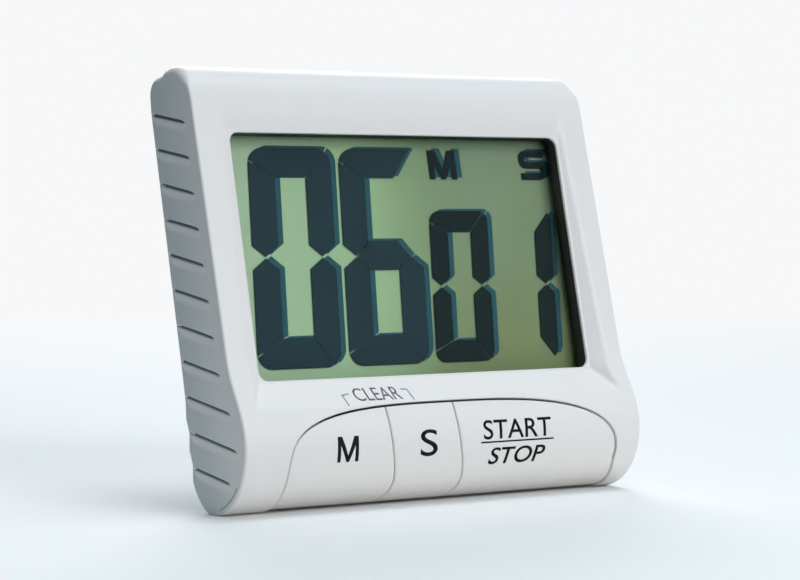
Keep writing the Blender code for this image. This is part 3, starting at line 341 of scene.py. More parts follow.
# moulded plastic: fine spark-eroded grain, faint flow clouds and a little handling gloss; edges are rubbed paler
def moulded(name, colour, roughness=0.42, grain=0.012, edge=0.25, tint=0.03, gloss=0.38):
    m = mouldFinish
    shade = Shade(name, colour, roughness)
    shade.put("Specular IOR Level", gloss)
    clouds = shade.noise(m["cloudScale"], *m["cloudDetail"])
    deeper = tuple(c * (1 - tint) for c in colour)
    paler = tuple(min(c * (1 + tint), 1.0) for c in colour)
    brighter = tuple(min(c * m["brighter"][0] + m["brighter"][1], 1.0) for c in colour)
    worn = shade.rubbed(m["wearReach"] * mm)
    shade.put("Base Color", shade.mix(worn * m["wearShare"], shade.mix(clouds, deeper, paler), brighter))
    fine = shade.noise(m["fineScale"], *m["fineDetail"])
    spread = (fine - 0.5) * m["fineSpread"] + (clouds - 0.5) * m["cloudSpread"]
    shade.put("Roughness", spread - worn * m["wearGloss"] + roughness)
    shade.put("Normal", shade.bump(fine, grain * mm, m["bumpShare"], shade.softEdges(edge * mm)))
    return shade


gripFinish = {"colour": (0.74, 0.75, 0.775), "roughness": 0.40, "gloss": 0.38, "sideFrom": 41.85,
              "sharpness": 10000.0, "front": 0.5, "back": 11.0,
              "paintedShadeTone": (0.500, 0.555, 0.580), "plainTone": (0.690, 0.690, 0.700),
              "speckTone": (0.40, 0.45, 0.47), "deepTone": (0.705, 0.692, 0.695),
              "paleTone": (0.735, 0.722, 0.725),
              "cloudScale": 38.0, "cloudDetail": (3.0, 0.55), "speckScale": 900.0, "speckDetail": (3.0, 0.6),
              "fineScale": 2400.0, "fineDetail": (2.0, 0.6), "speckShare": 0.16, "edgeWander": 0.5,
              "fineSpread": 0.14, "cloudSpread": 0.08, "duller": 0.12, "coarser": 1.5,
              "grain": 0.012, "bumpShare": 0.5, "edge": 0.35}


def shellPlastic():  # white satin plastic; the ribbed grip sides are duller and coarser, with a painted shade that makes them darker and cooler towards the back
    g = gripFinish
    shade = Shade("white_case", g["colour"], g["roughness"])
    shade.put("Specular IOR Level", g["gloss"])
    apart = shade.add("ShaderNodeSeparateXYZ", {}, {0: shade.here()})
    grip = ((apart.absolute() - g["sideFrom"] * mm) * g["sharpness"]).clamp(0.0, 1.0)
    clouds = shade.noise(g["cloudScale"], *g["cloudDetail"])
    front = shade.mix(clouds, g["deepTone"], g["paleTone"])
    speck = shade.noise(g["speckScale"], *g["speckDetail"])
    reach = g["front"] - g["back"]
    caseDepth = (apart.of("Y") * leanCos - apart.of("Z") * leanSin - (baseY * leanCos - baseZ * leanSin) * mm) / mm
    # painted shade on the grip sides: a dark cool tone at the back that fades to the plain tone towards the front
    ahead = ((caseDepth - g["back"]) / reach + (clouds - 0.5) * g["edgeWander"]).clamp(0.0, 1.0)
    gripSpeckAndPaintedShade = shade.mix(speck * g["speckShare"], shade.mix(ahead, g["paintedShadeTone"], g["plainTone"]), g["speckTone"])
    shade.put("Base Color", shade.mix(grip, front, gripSpeckAndPaintedShade))
    fine = shade.noise(g["fineScale"], *g["fineDetail"])
    spread = (fine - 0.5) * g["fineSpread"] + (clouds - 0.5) * g["cloudSpread"]
    shade.put("Roughness", spread + grip * g["duller"] + g["roughness"])
    grain = fine * (1.0 + grip * g["coarser"]) + speck * grip
    shade.relief(grain, g)
    return shade


whiteCase = shellPlastic()
# dark teal painted shade for the rib groove floors, standing in for the shadow inside the grooves
ribGroovePaintedShade = moulded("rib_groove_painted_shade", (0.125, 0.185, 0.205), 0.7, grain=0.03, tint=0.35, gloss=0.1)
whiteKeys = moulded("white_keys", (0.715, 0.705, 0.700), 0.44, edge=0.12)
whiteBack = moulded("white_back", (0.705, 0.700, 0.705), 0.46, grain=0.02)
blackFrame = moulded("black_frame", (0.012, 0.012, 0.010), 0.55)


caseShape = {
    "halfWidth": 42.0, "depth": 13.8, "wall": 1.8, "frontEdge": 0.45, "topEdge": 1.5, "backEdge": 0.7,
    "cheekEdge": 0.6, "edgeTop": (29.0, 3.0), "edgeBehind": (8.0, 4.0), "edgeCheek": (-27.0, 8.0),
    "topBehind": 0.4,
    "top": 34.6, "topStep": 0.5, "stepStart": 7.3, "stepLength": 2.0, "backTopRadius": 3.0,
    "browHeight": 7.7, "browDepth": 6.75, "railTop": 0.5, "railBottom": 1.85, "rampStart": -18.0,
    "railStops": (21.4, -17.6, -28.2, -31.1), "railCounts": (34, 24, 64, 10),
    "bulgeLevel": -31.1, "bulgeFront": 4.64, "bulgeDrop": 11.8, "bulgeDepth": 11.2, "bulgeEnd": 110,
    "heelLevel": -36.0, "heelStart": 9.0, "heelDrop": 6.5, "floor": 43.4375,
    "backTop": 30.6, "backLow": -37.3, "cavityEnd": 22.8, "scallop": 0.75, "scallopTops": (-23.6, -29.8, -35.4),
    "scallopRise": 1.3, "scallopFall": 5.0, "scallopDepth": (11.0, 2.0), "scallopSide": (38.5, 1.5),
    "stations": (33.6, 38.4), "recessBefore": 3.0,
}
windowShape = {
    "halfX": 35.0, "rightMore": 0.35, "halfZ": 21.65, "radius": 1.8, "lip": 0.5, "margin": 0.35, "rebate": 1.8,
    "topSlope": 0.62 / 3.4, "sideSlope": 0.62 / 0.9, "rampEnd": -27.0, "rampSideSlope": 1.1,
    "rampSide": (-19.0, 4.0), "crease": 0.45, "dipFrom": -31.0, "dipTo": 27.4, "cut": (-5, 3),
}
shape = caseShape


def frontHeight(z):  # straight rail that thickens downwards, then a smooth swell into the bulge
    z = np.asarray(z, float)
    browStart = shape["top"] - shape["browHeight"]
    span = browStart - shape["rampStart"]
    rail = shape["railTop"] + (shape["railBottom"] - shape["railTop"]) * (browStart - z) / span
    rise = blendStep((shape["rampStart"] - z) / (shape["rampStart"] - shape["bulgeLevel"]))
    swell = shape["railBottom"] + (shape["bulgeFront"] - shape["railBottom"]) * rise
    return np.where(z >= shape["rampStart"], rail, swell)


def bulgeArc(angles, offset=0.0):  # quarter ellipse and a little more under the keys
    core = shape["bulgeDepth"] - shape["bulgeFront"]
    y = core - (shape["bulgeDepth"] - offset) * np.cos(angles)
    z = shape["bulgeLevel"] - (shape["bulgeDrop"] - offset) * np.sin(angles)
    return np.column_stack([y, z])


def sideOutline():  # closed (y, z) loop: front rail, swell, bulge, heel, back, stepped top, brow
    stops = (shape["top"] - shape["browHeight"], *shape["railStops"])
    railZ = np.concatenate([np.linspace(a, b, n)[:-1] for a, b, n in zip(stops, stops[1:], shape["railCounts"])])
    front = np.column_stack([-frontHeight(railZ), railZ])
    arc = bulgeArc(np.radians(np.linspace(0, shape["bulgeEnd"], 56)))
    arc = arc[arc[:, 0] < shape["heelStart"]]
    turn = np.linspace(0, np.pi / 2, 25)[1:]
    heelDepth = shape["depth"] - shape["heelStart"]
    heel = np.column_stack([shape["heelStart"] + heelDepth * np.sin(turn),
                            shape["heelLevel"] - shape["heelDrop"] * np.cos(turn)])
    backTop = shape["top"] - shape["topStep"] - shape["backTopRadius"]
    back = np.column_stack([np.full(24, shape["depth"]), np.linspace(shape["heelLevel"], backTop, 26)[1:-1]])
    turn = np.linspace(0, np.pi / 2, 12)
    radius = shape["backTopRadius"]
    corner = np.column_stack([shape["depth"] - radius * (1 - np.cos(turn)), backTop + radius * np.sin(turn)])
    share = np.linspace(1, 0, 16)
    step = np.column_stack([shape["stepStart"] + shape["stepLength"] * share,
                            shape["top"] - shape["topStep"] * blendStep(share)])
    turn = np.linspace(np.pi / 2, 0, 26)[:-1]
    brow = np.column_stack([shape["browDepth"] - shape["railTop"] - shape["browDepth"] * np.cos(turn),
                            shape["top"] - shape["browHeight"] * (1 - np.sin(turn))])
    loop = np.vstack([front, arc, heel, back, corner, step, brow])
    height = shape["floor"] + loop[:, 1] * leanCos - loop[:, 0] * leanSin  # the foot is cut flat
    sunk = np.minimum(height, 0.0)
    return loop + sunk[:, None] * np.array([leanSin, -leanCos])


def rising(value, span):  # 0 before the span's start, 1 a length later
    start, length = span
    return blendStep((value - start) / length)


def edgeSize(loop):  # rounding of the side edge: small along the front, larger over the top, medium behind
    s = shape
    over = rising(loop[:, 1], s["edgeTop"])
    behind = rising(loop[:, 0], s["edgeBehind"])
    cheek = blendStep((s["edgeCheek"][0] - loop[:, 1]) / s["edgeCheek"][1])
    front = s["frontEdge"] + (s["cheekEdge"] - s["frontEdge"]) * cheek
    plain = front + (s["backEdge"] - front) * behind
    return plain + (s["topEdge"] - plain) * over * (1 - s["topBehind"] * behind)


def scallop(loop):  # the back edge swells a little just under each of the lowest ribs and falls away below it
    swell = np.zeros(len(loop))
    for peak in shape["scallopTops"]:
        over, under = (loop[:, 1] - peak) / shape["scallopRise"], (peak - loop[:, 1]) / shape["scallopFall"]
        swell = np.maximum(swell, 1 - blendStep(np.where(loop[:, 1] > peak, over, under)))
    return swell * rising(loop[:, 0], shape["scallopDepth"]) * shape["scallop"]


def insetLoop(loop, distance):  # each point moves inwards along the mean of its two edge normals
    ahead = np.roll(loop, -1, 0) - loop
    ahead /= np.linalg.norm(ahead, axis=1)[:, None]
    behind = np.roll(ahead, 1, 0)
    mean = ahead + behind
    mean /= np.linalg.norm(mean, axis=1)[:, None]
    normal = np.column_stack([-mean[:, 1], mean[:, 0]])
    edge = np.column_stack([-behind[:, 1], behind[:, 0]])
    scale = 1 / np.maximum((normal * edge).sum(1), 0.5)
    return loop + normal * (distance * scale)[:, None]


def recessDepth(x, z):  # how far the front dips round the window: sloping brow, narrow sides, long sill ramp
    w = windowShape
    level = frontHeight(z)
    top = (z - w["halfZ"] - w["margin"]) * w["topSlope"]
    rampSide = blendStep((w["rampSide"][0] - z) / w["rampSide"][1])
    lean = w["sideSlope"] + (w["rampSideSlope"] - w["sideSlope"]) * rampSide
    side = (abs(x) - w["halfX"] - w["margin"] - w["rightMore"] * (x > 0)) * lean
    sill = -w["halfZ"] - w["margin"]
    drop = (sill - z) * frontHeight(w["rampEnd"]) / (sill - w["rampEnd"])
    floor = np.maximum(softMax(softMax(top, side, w["crease"]), drop, w["crease"]), 0.0)
    cut = np.maximum(level - softMin(level, floor, w["crease"]), 0.0)
    return np.where((z < w["dipTo"]) & (z > w["dipFrom"]), cut, 0.0)


def halfRings(side):  # rings from the middle to one side: plain stations, then the rounded edge
    loop = sideOutline()
    half, edge, swell = shape["halfWidth"], edgeSize(loop), scallop(loop)
    first, second = shape["stations"]
    flat = np.concatenate([np.linspace(0, first, 22)[:-1], np.linspace(first, second, 36)[:-1],
                           np.linspace(second, half - edge.max() - 0.05, 6)])
    rings = []
    for x in flat:
        ring = loop.copy()
        ring[:, 0] += np.where(ring[:, 0] < shape["recessBefore"], recessDepth(side * x, ring[:, 1]), 0.0)
        ring[:, 0] += swell * rising(x, shape["scallopSide"])
        rings.append(np.column_stack([np.full(len(ring), side * x), ring]))
    swollen = loop + np.column_stack([swell, np.zeros(len(loop))])
    for turn in np.linspace(0, np.pi / 2, 10):
        ring = insetLoop(swollen, edge * (1 - math.cos(turn)))
        rings.append(np.column_stack([side * (half - edge + edge * math.sin(turn)), ring]))
    return np.array(rings)


def caseRings():  # the side outline at stations along x, dipped round the window, inset at the side edges
    return np.concatenate([halfRings(-1)[:0:-1], halfRings(1)])


panelShape = {
    "centre": 2.0, "left": 35.4, "right": 34.8, "top": -26.95, "shoulder": -39.0, "leftPower": 3.2,
    "rightPower": 2.8, "below": 7.0, "flare": 1.6, "flareGain": 1.4, "openingDepth": 9.1, "openingFront": -9.0,
    "capEnd": 8.0, "gap": 0.25, "sink": 0.12, "edge": 0.35, "skirt": 1.5, "draft": 0.06, "divide": 0.16,
    "footDivide": 0.24, "footSink": 0.26, "seam": -27.2, "footFrom": -40.0, "sinkFrom": -41.0, "crowd": 1.7,
    "rows": 44, "roll": (18, 36, 54, 72, 90),
}


def panelTop(x, grow=0.0):  # superellipse shoulders to either side of the panel's centre
    p = panelShape
    rise = p["top"] - p["shoulder"] + grow
    reach = np.where(x < p["centre"], p["left"], p["right"]) + grow
    power = np.where(x < p["centre"], p["leftPower"], p["rightPower"])
    share = np.clip(np.abs(x - p["centre"]) / reach, 0, 1)
    return p["shoulder"] + rise * (1 - share ** power) ** (1 / power)


def panelSide(z, grow=0.0):  # right side below the shoulder flares out a little
    p = panelShape
    below = np.clip((p["shoulder"] - z) / p["below"], 0, 1)
    return p["centre"] + p["right"] + grow + p["flare"] * np.minimum(below * p["flareGain"], 1.0)


def panelOutline(grow=0.0):  # the opening's closed (x, z) loop: flared right side, both shoulders, left side
    p = panelShape
    low = p["shoulder"] - p["below"]
    turn = np.linspace(0, np.pi / 2, 60)
    rise = p["top"] - p["shoulder"] + grow
    rightX = p["centre"] + (p["right"] + grow) * np.cos(turn) ** (2 / p["rightPower"])
    rightZ = p["shoulder"] + rise * np.sin(turn) ** (2 / p["rightPower"])
    leftX = p["centre"] - (p["left"] + grow) * np.cos(turn) ** (2 / p["leftPower"])
    leftZ = p["shoulder"] + rise * np.sin(turn) ** (2 / p["leftPower"])
    belowZ = np.linspace(low, p["shoulder"], 12)[:-1]
    right = np.column_stack([panelSide(belowZ, grow), belowZ])
    arcR = np.column_stack([rightX, rightZ])
    arcL = np.column_stack([leftX, leftZ])[::-1][1:]
    foot = np.array([[p["centre"] - p["left"] - grow, low]])
    return np.vstack([right, arcR, arcL, foot])


# the bulge's front line from a little above the keys, indexed by its arc length, with inward normals
bulgeCounts = {"from": -22.0, "rail": 80, "arc": 180, "arcEnd": 100, "steep": 165}
railZ = np.linspace(bulgeCounts["from"], shape["bulgeLevel"], bulgeCounts["rail"])[:-1]
bulgeLine = np.vstack([np.column_stack([-frontHeight(railZ), railZ]),
                       bulgeArc(np.radians(np.linspace(0, bulgeCounts["arcEnd"], bulgeCounts["arc"])))])
bulgeRun = np.concatenate([[0], np.cumsum(np.linalg.norm(np.diff(bulgeLine, axis=0), axis=1))])
bulgeSlope = np.gradient(bulgeLine, bulgeRun, axis=0)
bulgeSlope /= np.linalg.norm(bulgeSlope, axis=1)[:, None]


def onBulge(x, run, depth):  # a point of the bulge's front, moved inwards along the normal
    y = np.interp(run, bulgeRun, bulgeLine[:, 0])
    z = np.interp(run, bulgeRun, bulgeLine[:, 1])
    slopeY = np.interp(run, bulgeRun, bulgeSlope[:, 0])
    slopeZ = np.interp(run, bulgeRun, bulgeSlope[:, 1])
    return np.stack([x, y - slopeZ * depth, z + slopeY * depth], -1)


def runAt(z):  # the arc length at a height, where the line still falls
    count = bulgeCounts["steep"]
    return np.interp(-z, -bulgeLine[:count, 1], bulgeRun[:count])


arcStart = bulgeCounts["rail"] - 1
runEnd = np.interp(panelShape["capEnd"], bulgeLine[arcStart:, 0], bulgeRun[arcStart:])


grooveMark = {"under": 0.46, "from": 40.35, "away": 1.1, "awayLow": 0.75, "lowFrom": -37.5, "before": 13.2}
cheekSeam = {"inset": 0.98, "from": 48, "to": 88, "width": 0.34, "depth": 0.4, "count": 30, "taper": 0.06,
             "full": 0.94}


def groovePolygons(data):  # faces under the flat sides and well inside the side outline are groove floors, which get the painted groove shade
    g = grooveMark
    centres = np.empty(len(data.polygons) * 3)
    data.polygons.foreach_get("center", centres)
    centres = centres.reshape(-1, 3) / mm
    y = (centres[:, 1] - baseY) * leanCos - (centres[:, 2] - baseZ) * leanSin
    z = (centres[:, 1] - baseY) * leanSin + (centres[:, 2] - baseZ) * leanCos
    away = np.sqrt(((np.column_stack([y, z])[:, None, :] - sideOutline()[None]) ** 2).sum(2)).min(1)
    side = np.abs(centres[:, 0])
    inside = (side < shape["halfWidth"] - g["under"]) & (side > g["from"])
    return inside & (away > np.where(z < g["lowFrom"], g["awayLow"], g["away"])) & (y < g["before"])


def seamCutter(side):  # a slim four-sided slot carried along the bulge's arc, thin at both ends
    c = cheekSeam
    turn = np.radians(np.linspace(c["from"], c["to"], c["count"]))
    path = bulgeArc(turn, c["inset"])
    inwards = bulgeArc(turn, c["inset"] + 0.1) - path
    inwards /= np.linalg.norm(inwards, axis=1)[:, None]
    size = np.sin(np.linspace(c["taper"], 1, c["count"]) * np.pi * c["full"]) ** 0.5
    rings = []
    for across, deep in ((-0.5, -1.0), (0.5, -1.0), (0.5, 1.0), (-0.5, 1.0)):
        spot = path + inwards * (across * c["width"] * size)[:, None]
        x = side * (shape["halfWidth"] - deep * c["depth"] * size)
        rings.append(np.column_stack([x, spot]))
    return solid("cheek_seam", np.transpose(np.array(rings), (1, 0, 2)))


cavityShape = {"sill": -25.4, "browFront": 4.5, "browLevel": 27.9, "bottomFront": 12.0}


def cavityRings():  # the room inside the shell: its side outline, one wall in from the front, at both ends
    c = cavityShape
    inner = bulgeArc(np.radians(np.linspace(0, 100, 14)), shape["wall"])
    inner = inner[(inner[:, 1] < c["sill"]) & (inner[:, 0] < shape["heelStart"])]
    railZ = np.linspace(c["sill"] - 0.4, shape["bulgeLevel"] + 0.3, 6)
    rail = np.column_stack([shape["wall"] - frontHeight(railZ), railZ])
    upper = [(shape["cavityEnd"], shape["backTop"]), (c["browFront"], shape["backTop"]),
             (shape["wall"], c["browLevel"]), (shape["wall"], c["sill"])]
    lower = [(c["bottomFront"], shape["backLow"]), (shape["cavityEnd"], shape["backLow"])]
    outline = np.vstack([upper, rail, inner, lower])
    inside = shape["halfWidth"] - shape["wall"]
    return np.array([np.column_stack([np.full(len(outline), x), outline]) for x in (-inside, inside)])


def buildFront():  # side outline lofted across, less cavity, window, rebate, key opening, ribs and cheek seams
    made = solid("front_shell", caseRings())
    w = windowShape
    wide, high = w["halfX"] + w["rebate"], w["halfZ"] + w["rebate"]
    mouth = roundedRect(w["halfX"], -w["halfZ"], w["halfZ"], w["radius"], 12, w["rightMore"])
    cutters = [solid("cavity", cavityRings()), solid("window", prism(mouth, *w["cut"])),
               solid("rebate", prism(roundedRect(wide, -high, high, 2.0), w["lip"], w["cut"][1])),
               solid("panel", prism(panelOutline(), panelShape["openingFront"], panelShape["openingDepth"]))]
    for index in range(ribShape["count"]):
        for side in (-1, 1):
            cutters.append(ribCutter(index, side, ribShape["lip"], ribShape["lipReach"]))
            cutters.append(ribCutter(index, side, ribShape["slot"], 0.0))
    cutters += [seamCutter(-1), seamCutter(1)]
    cutAway(made, cutters)
    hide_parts("front_case")
    dress(made, whiteCase)
    # the groove floors get a dark painted shade as a second material
    made.data.materials.append(ribGroovePaintedShade.material)
    marked = groovePolygons(made.data)
    made.data.polygons.foreach_set("material_index", marked.astype(np.int32))
    settleNormals(made)


ribShape = {
    "count": 11, "pitch": 6.2, "top": 27.9, "slope": math.tan(math.radians(21.3)), "rise": 1.09,
    "margin": 3.3, "endLength": 2.0, "lastShorter": 3.4, "beyond": 2.0, "endTurn": 88, "straightFrom": 12.0,
    "fadeDepths": (14.6, 14.0, 13.6, 13.1, 12.4), "fadeSizes": (0.1, 0.1, 0.12, 0.35, 0.70, 0.92),
    "endPower": 0.7, "leastHeight": 0.3, "lipReach": 0.6,
    "slot": [(-0.6, 0.44), (0.0, 0.38), (0.55, 0.28), (0.66, 0.0), (0.56, -0.26), (0.25, -0.36), (-0.6, -0.42)],
    "lip": [(-0.6, 0.1), (0.30, 0.05), (0.31, -0.2), (0.25, -0.6), (0.17, -1.1), (0.09, -1.7),
            (0.03, -2.3), (0.0, -2.8), (-0.6, -3.6)],
}


def ribCutter(index, side, profile, reach):  # a profile swept along a groove; it shrinks towards both ends
    r = ribShape
    backY = shape["depth"] + r["beyond"]
    backZ = r["top"] - r["pitch"] * index + r["rise"]
    endY = r["margin"] - float(frontHeight(backZ - backY * r["slope"])) - reach
    if index == r["count"] - 1:
        endY += r["lastShorter"]
    turn = np.radians(np.linspace(0, r["endTurn"], 13)[1:])
    start = endY + r["endLength"]
    ys = np.concatenate([(backY, *r["fadeDepths"]), np.linspace(r["straightFrom"], start, 6),
                         start - r["endLength"] * np.sin(turn)])[:, None]
    sizes = np.concatenate([r["fadeSizes"], np.ones(6), np.cos(turn) ** r["endPower"]])[:, None]
    profile = np.array(profile)
    depth = np.where(profile[:, 0] > 0, profile[:, 0] * sizes, profile[:, 0])
    height = profile[:, 1] * (r["leastHeight"] + (1 - r["leastHeight"]) * sizes)
    z = backZ - (backY - ys) * r["slope"] + height
    return solid("rib", np.stack([side * (shape["halfWidth"] - depth), ys + 0 * depth, z], -1))


keyEdges = {"first": (-13.07, 3.1), "second": (1.1, 3.4), "power": 2.2, "back": 2.6, "backPower": 1.5,
            "from": -27.0, "fall": 15.9}
keyColumns = {"minutes": 60, "seconds": 34, "start_stop": 80}  # how many points each cap has across


def footShare(run, level):  # 0 at a height of the bulge, 1 at the caps' lower edge, by arc length
    return (run - runAt(level)) / (runEnd - runAt(level))


def dividerX(which, run):  # each divider leaves the top almost upright and sweeps right towards the foot
    start, sweep = keyEdges[which]
    z = np.interp(run, bulgeRun, bulgeLine[:, 1])
    below = np.clip((keyEdges["from"] - z) / keyEdges["fall"], 0, 1)
    under = np.clip(footShare(run, panelShape["footFrom"]), 0, 1)
    return start + sweep * below ** keyEdges["power"] - keyEdges["back"] * under ** keyEdges["backPower"]


def keySurface(name, u, v, grow, depth):  # u across, v from the seam to the lower edge, along the bulge's arc
    p = panelShape

    def across(run):  # between the cap's two sides; the gap to its neighbour widens towards the foot
        foot = np.clip(footShare(run, p["footFrom"]), 0, 1)
        slack = (p["divide"] + p["footDivide"] * foot) / 2 - grow - p["gap"]
        if name == "minutes":
            leftEnd, rightEnd = p["centre"] - p["left"] - grow, dividerX("first", run) - slack
            place = u ** p["crowd"]
        elif name == "seconds":
            leftEnd, rightEnd, place = dividerX("first", run) + slack, dividerX("second", run) - slack, u
        else:
            leftEnd, place = dividerX("second", run) + slack, 1 - (1 - u) ** p["crowd"]
            rightEnd = panelSide(np.interp(run, bulgeRun, bulgeLine[:, 1]), grow)
        return leftEnd + (rightEnd - leftEnd) * place

    top = np.full(np.shape(u), runAt(p["seam"]))  # the seam's place depends on x, and x a little on that place
    for _ in range(5):
        top = runAt(panelTop(np.minimum(across(top), p["centre"] + p["right"] + grow), grow))
    run = top + (runEnd + grow - top) * v
    return onBulge(across(run), run, depth + p["footSink"] * blendStep(footShare(run, p["sinkFrom"])))


def ringQuads(outer, inner):  # quads between two closed loops of the same length
    return np.stack([np.roll(outer, -1), outer, inner, np.roll(inner, -1)], -1).tolist()


def buildKey(name, columns, body):  # a grid on the bulge, a rolled rim, a drafted wall and the same grid beneath
    p = panelShape
    rows, edge = p["rows"], p["edge"]
    u = np.linspace(0, 1, columns)
    v = np.linspace(0, 1, rows)
    gridU, gridV = np.meshgrid(u, v)
    points = [keySurface(name, gridU, gridV, -p["gap"] - edge, p["sink"]).reshape(-1, 3)]
    faces = gridFaces(rows, columns)
    aroundU = np.concatenate([u, np.ones(rows - 2), u[::-1], np.zeros(rows - 2)])
    aroundV = np.concatenate([np.zeros(columns), v[1:-1], np.ones(columns), v[1:-1][::-1]])
    index = np.arange(rows * columns).reshape(rows, columns)
    ring = np.concatenate([index[0], index[1:-1, -1], index[-1, ::-1], index[1:-1, 0][::-1]])
    start = rows * columns
    steps = [(edge * math.sin(a), edge * (1 - math.cos(a))) for a in np.radians(p["roll"])]
    steps.append((edge - p["draft"], p["skirt"]))
    for growth, down in steps:
        loop = keySurface(name, aroundU, aroundV, -p["gap"] - edge + growth, p["sink"] + down)
        points.append(loop)
        now = np.arange(len(loop)) + start
        faces += ringQuads(ring, now)
        ring = now
        start += len(loop)
    under = keySurface(name, gridU, gridV, -p["gap"] - p["draft"], p["sink"] + p["skirt"])
    points.append(under.reshape(-1, 3))
    faces += (np.array(gridFaces(rows, columns))[:, [0, 3, 2, 1]] + start).tolist()
    made = makeMesh(name + "_cap", toRow(np.vstack(points)), faces, body, 50.0)
    weld(made.data, 1e-6)
    outward(made)
    shadeByAngle(made, 50.0)
    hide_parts(body)
    dress(made, whiteKeys)


displayShape = {
    "bezelFront": 0.7, "bezelBack": 3.7, "bezelWide": 1.5, "bezelMouth": 0.3, "corner": 1.8,
    "paneFront": 2.1, "paneThick": 0.8, "paneWide": 0.9, "paneCorner": 1.2,
    "inkDepth": 4.60, "inkThick": 0.03, "shadowDepth": 4.72, "groundDepth": 4.80, "groundBack": 6.35,
    "halfX": 37.0, "low": -22.6, "high": 24.2, "groundInset": 0.4, "shadowShift": (1.18, 0.42),
}
digitShape = {
    "gap": 0.20, "base": -19.0, "point": 0.38, "bar": 0.5, "barTop": 1.05, "barFoot": 0.95,
    "big": {"left": -30.55, "width": 17.0, "height": 39.2, "stroke": 5.35, "pitch": 18.7, "radius": 3.0,
            "leftMitre": 2.3, "rightMitre": 1.75, "slant": 0.083},
    "small": {"left": 6.33, "width": 12.95, "height": 27.8, "stroke": 3.95, "pitch": 14.65, "radius": 2.1,
              "leftMitre": 2.1, "rightMitre": 0.95, "slant": 0.098},
}


def onArc(r, beside):  # how far below the top the corner's quarter circle lies, that far in from the side
    return r - math.sqrt(max(r * r - (r - beside) ** 2, 0.0))


def segmentShapes(d):  # strokes with mitred ends; top and bottom own the left corners, the sides the right ones
    w, h, s, r = d["width"], d["height"], d["stroke"], d["radius"]
    m, g, point = h / 2, digitShape["gap"] / 2, s * digitShape["point"]
    cut, side = d["leftMitre"], d["rightMitre"]
    turn = np.linspace(0, np.pi / 2, 13)
    rightArc = np.column_stack([w - r + r * np.cos(turn), h - r + r * np.sin(turn)])
    leftArc = np.column_stack([r - r * np.cos(turn), h - r + r * np.sin(turn)])
    end = h - onArc(r, side)
    top = np.vstack([[(onArc(r, cut), h - cut + g)], leftArc[leftArc[:, 1] > h - cut + g],
                     rightArc[rightArc[:, 0] < w - side - g][::-1],
                     [(w - side - g * 1.2, end + g * 0.6), (w - s - g, h - s), (s + g, h - s)]])
    right = np.vstack([[(w, m + point + g)], rightArc[rightArc[:, 0] > w - side + g],
                       [(w - side + g * 1.2, end - g * 0.6), (w - s, h - s - g * 0.6), (w - s, m + point + g),
                        (w - s / 2, m + g)]])
    left = np.vstack([[(0.0, m + point + g)], leftArc[leftArc[:, 1] < h - cut - g],
                      [(onArc(r, cut), h - cut - g), (s, h - s - g * 1.4), (s, m + point + g), (s / 2, m + g)]])
    bar = s * digitShape["bar"]
    over, under = m + bar * digitShape["barTop"], m - bar * digitShape["barFoot"]
    middle = np.array([(s / 2 + g * 2, m), (s, over), (w - s - g, over), (w - s / 2 - g * 2, m),
                       (w - s - g, under), (s, under)])

    def flip(outline):  # turned over about the middle height
        return outline * np.array([1, -1]) + np.array([0, h])

    return {"a": top, "b": right, "c": flip(right), "d": flip(top), "e": flip(left), "f": left, "g": middle}


def platesFrom(name, outlines, depth, thick, body="case"):  # flat plates of several outlines in one mesh
    points, faces, start = [], [], 0
    for outline in outlines:
        spots, sides = loftRings(prism(outline, depth, depth + thick))
        points.append(spots)
        faces += [(np.array(face) + start).tolist() for face in sides]
        start += len(spots)
    made = makeMesh(name, toRow(np.vstack(points)), faces, body, 0)
    outward(made)
    return made


def digitOutlines(kind, letters, place):  # the lit segments of one digit, leaning by the slant
    d = digitShape[kind]
    shapes = segmentShapes(d)
    found = []
    for letter in letters:
        spots = np.array(shapes[letter])
        x = d["left"] + d["pitch"] * place + spots[:, 0] + (spots[:, 1] - d["height"] / 2) * d["slant"]
        found.append(np.column_stack([x, digitShape["base"] + spots[:, 1]]))
    return found


markShape = {
    "M": {"left": 9.0, "right": 15.1, "low": 14.7, "high": 20.1, "stroke": 1.25},
    "S": {"left": 29.65, "right": 35.6, "low": 14.7, "high": 20.3, "stroke": 1.30, "corner": 0.8, "past": 0.35,
          "short": 0.4},
}


def strokeBand(path, width):  # a flat band of even width along an open path of (x, z) points
    path = np.asarray(path, float)
    run = np.gradient(path, axis=0)
    run /= np.linalg.norm(run, axis=1)[:, None]
    side = np.column_stack([-run[:, 1], run[:, 0]]) * width / 2
    return np.vstack([path + side, (path - side)[::-1]])


def markStrokes():  # M as one angular outline, S as a band with square turns and rounded corners
    m = markShape["M"]
    letterM = straightM(m["left"], m["right"], m["low"], m["high"], m["stroke"])
    m = markShape["S"]
    s, c, past, short = m["stroke"], m["corner"], m["past"] * m["stroke"], m["corner"] * m["short"]
    l, r, b, t = m["left"] + s / 2, m["right"] - s / 2, m["low"] + s / 2, m["high"] - s / 2
    mid = (b + t) / 2
    turn = np.radians(np.linspace(0, 90, 6))
    sine, cosine = c * np.sin(turn), c * np.cos(turn)
    bends = ((l + c - sine, t - c + cosine), (l + c - cosine, mid + c - sine),
             (r - c + sine, mid - c + cosine), (r - c + cosine, b + c - sine))
    path = np.vstack([[(r + past, t), (r - short, t)], *[np.column_stack(bend) for bend in bends],
                      [(l + short, b), (l - past, b)]])
    return [np.array(letterM), strokeBand(path, s)]


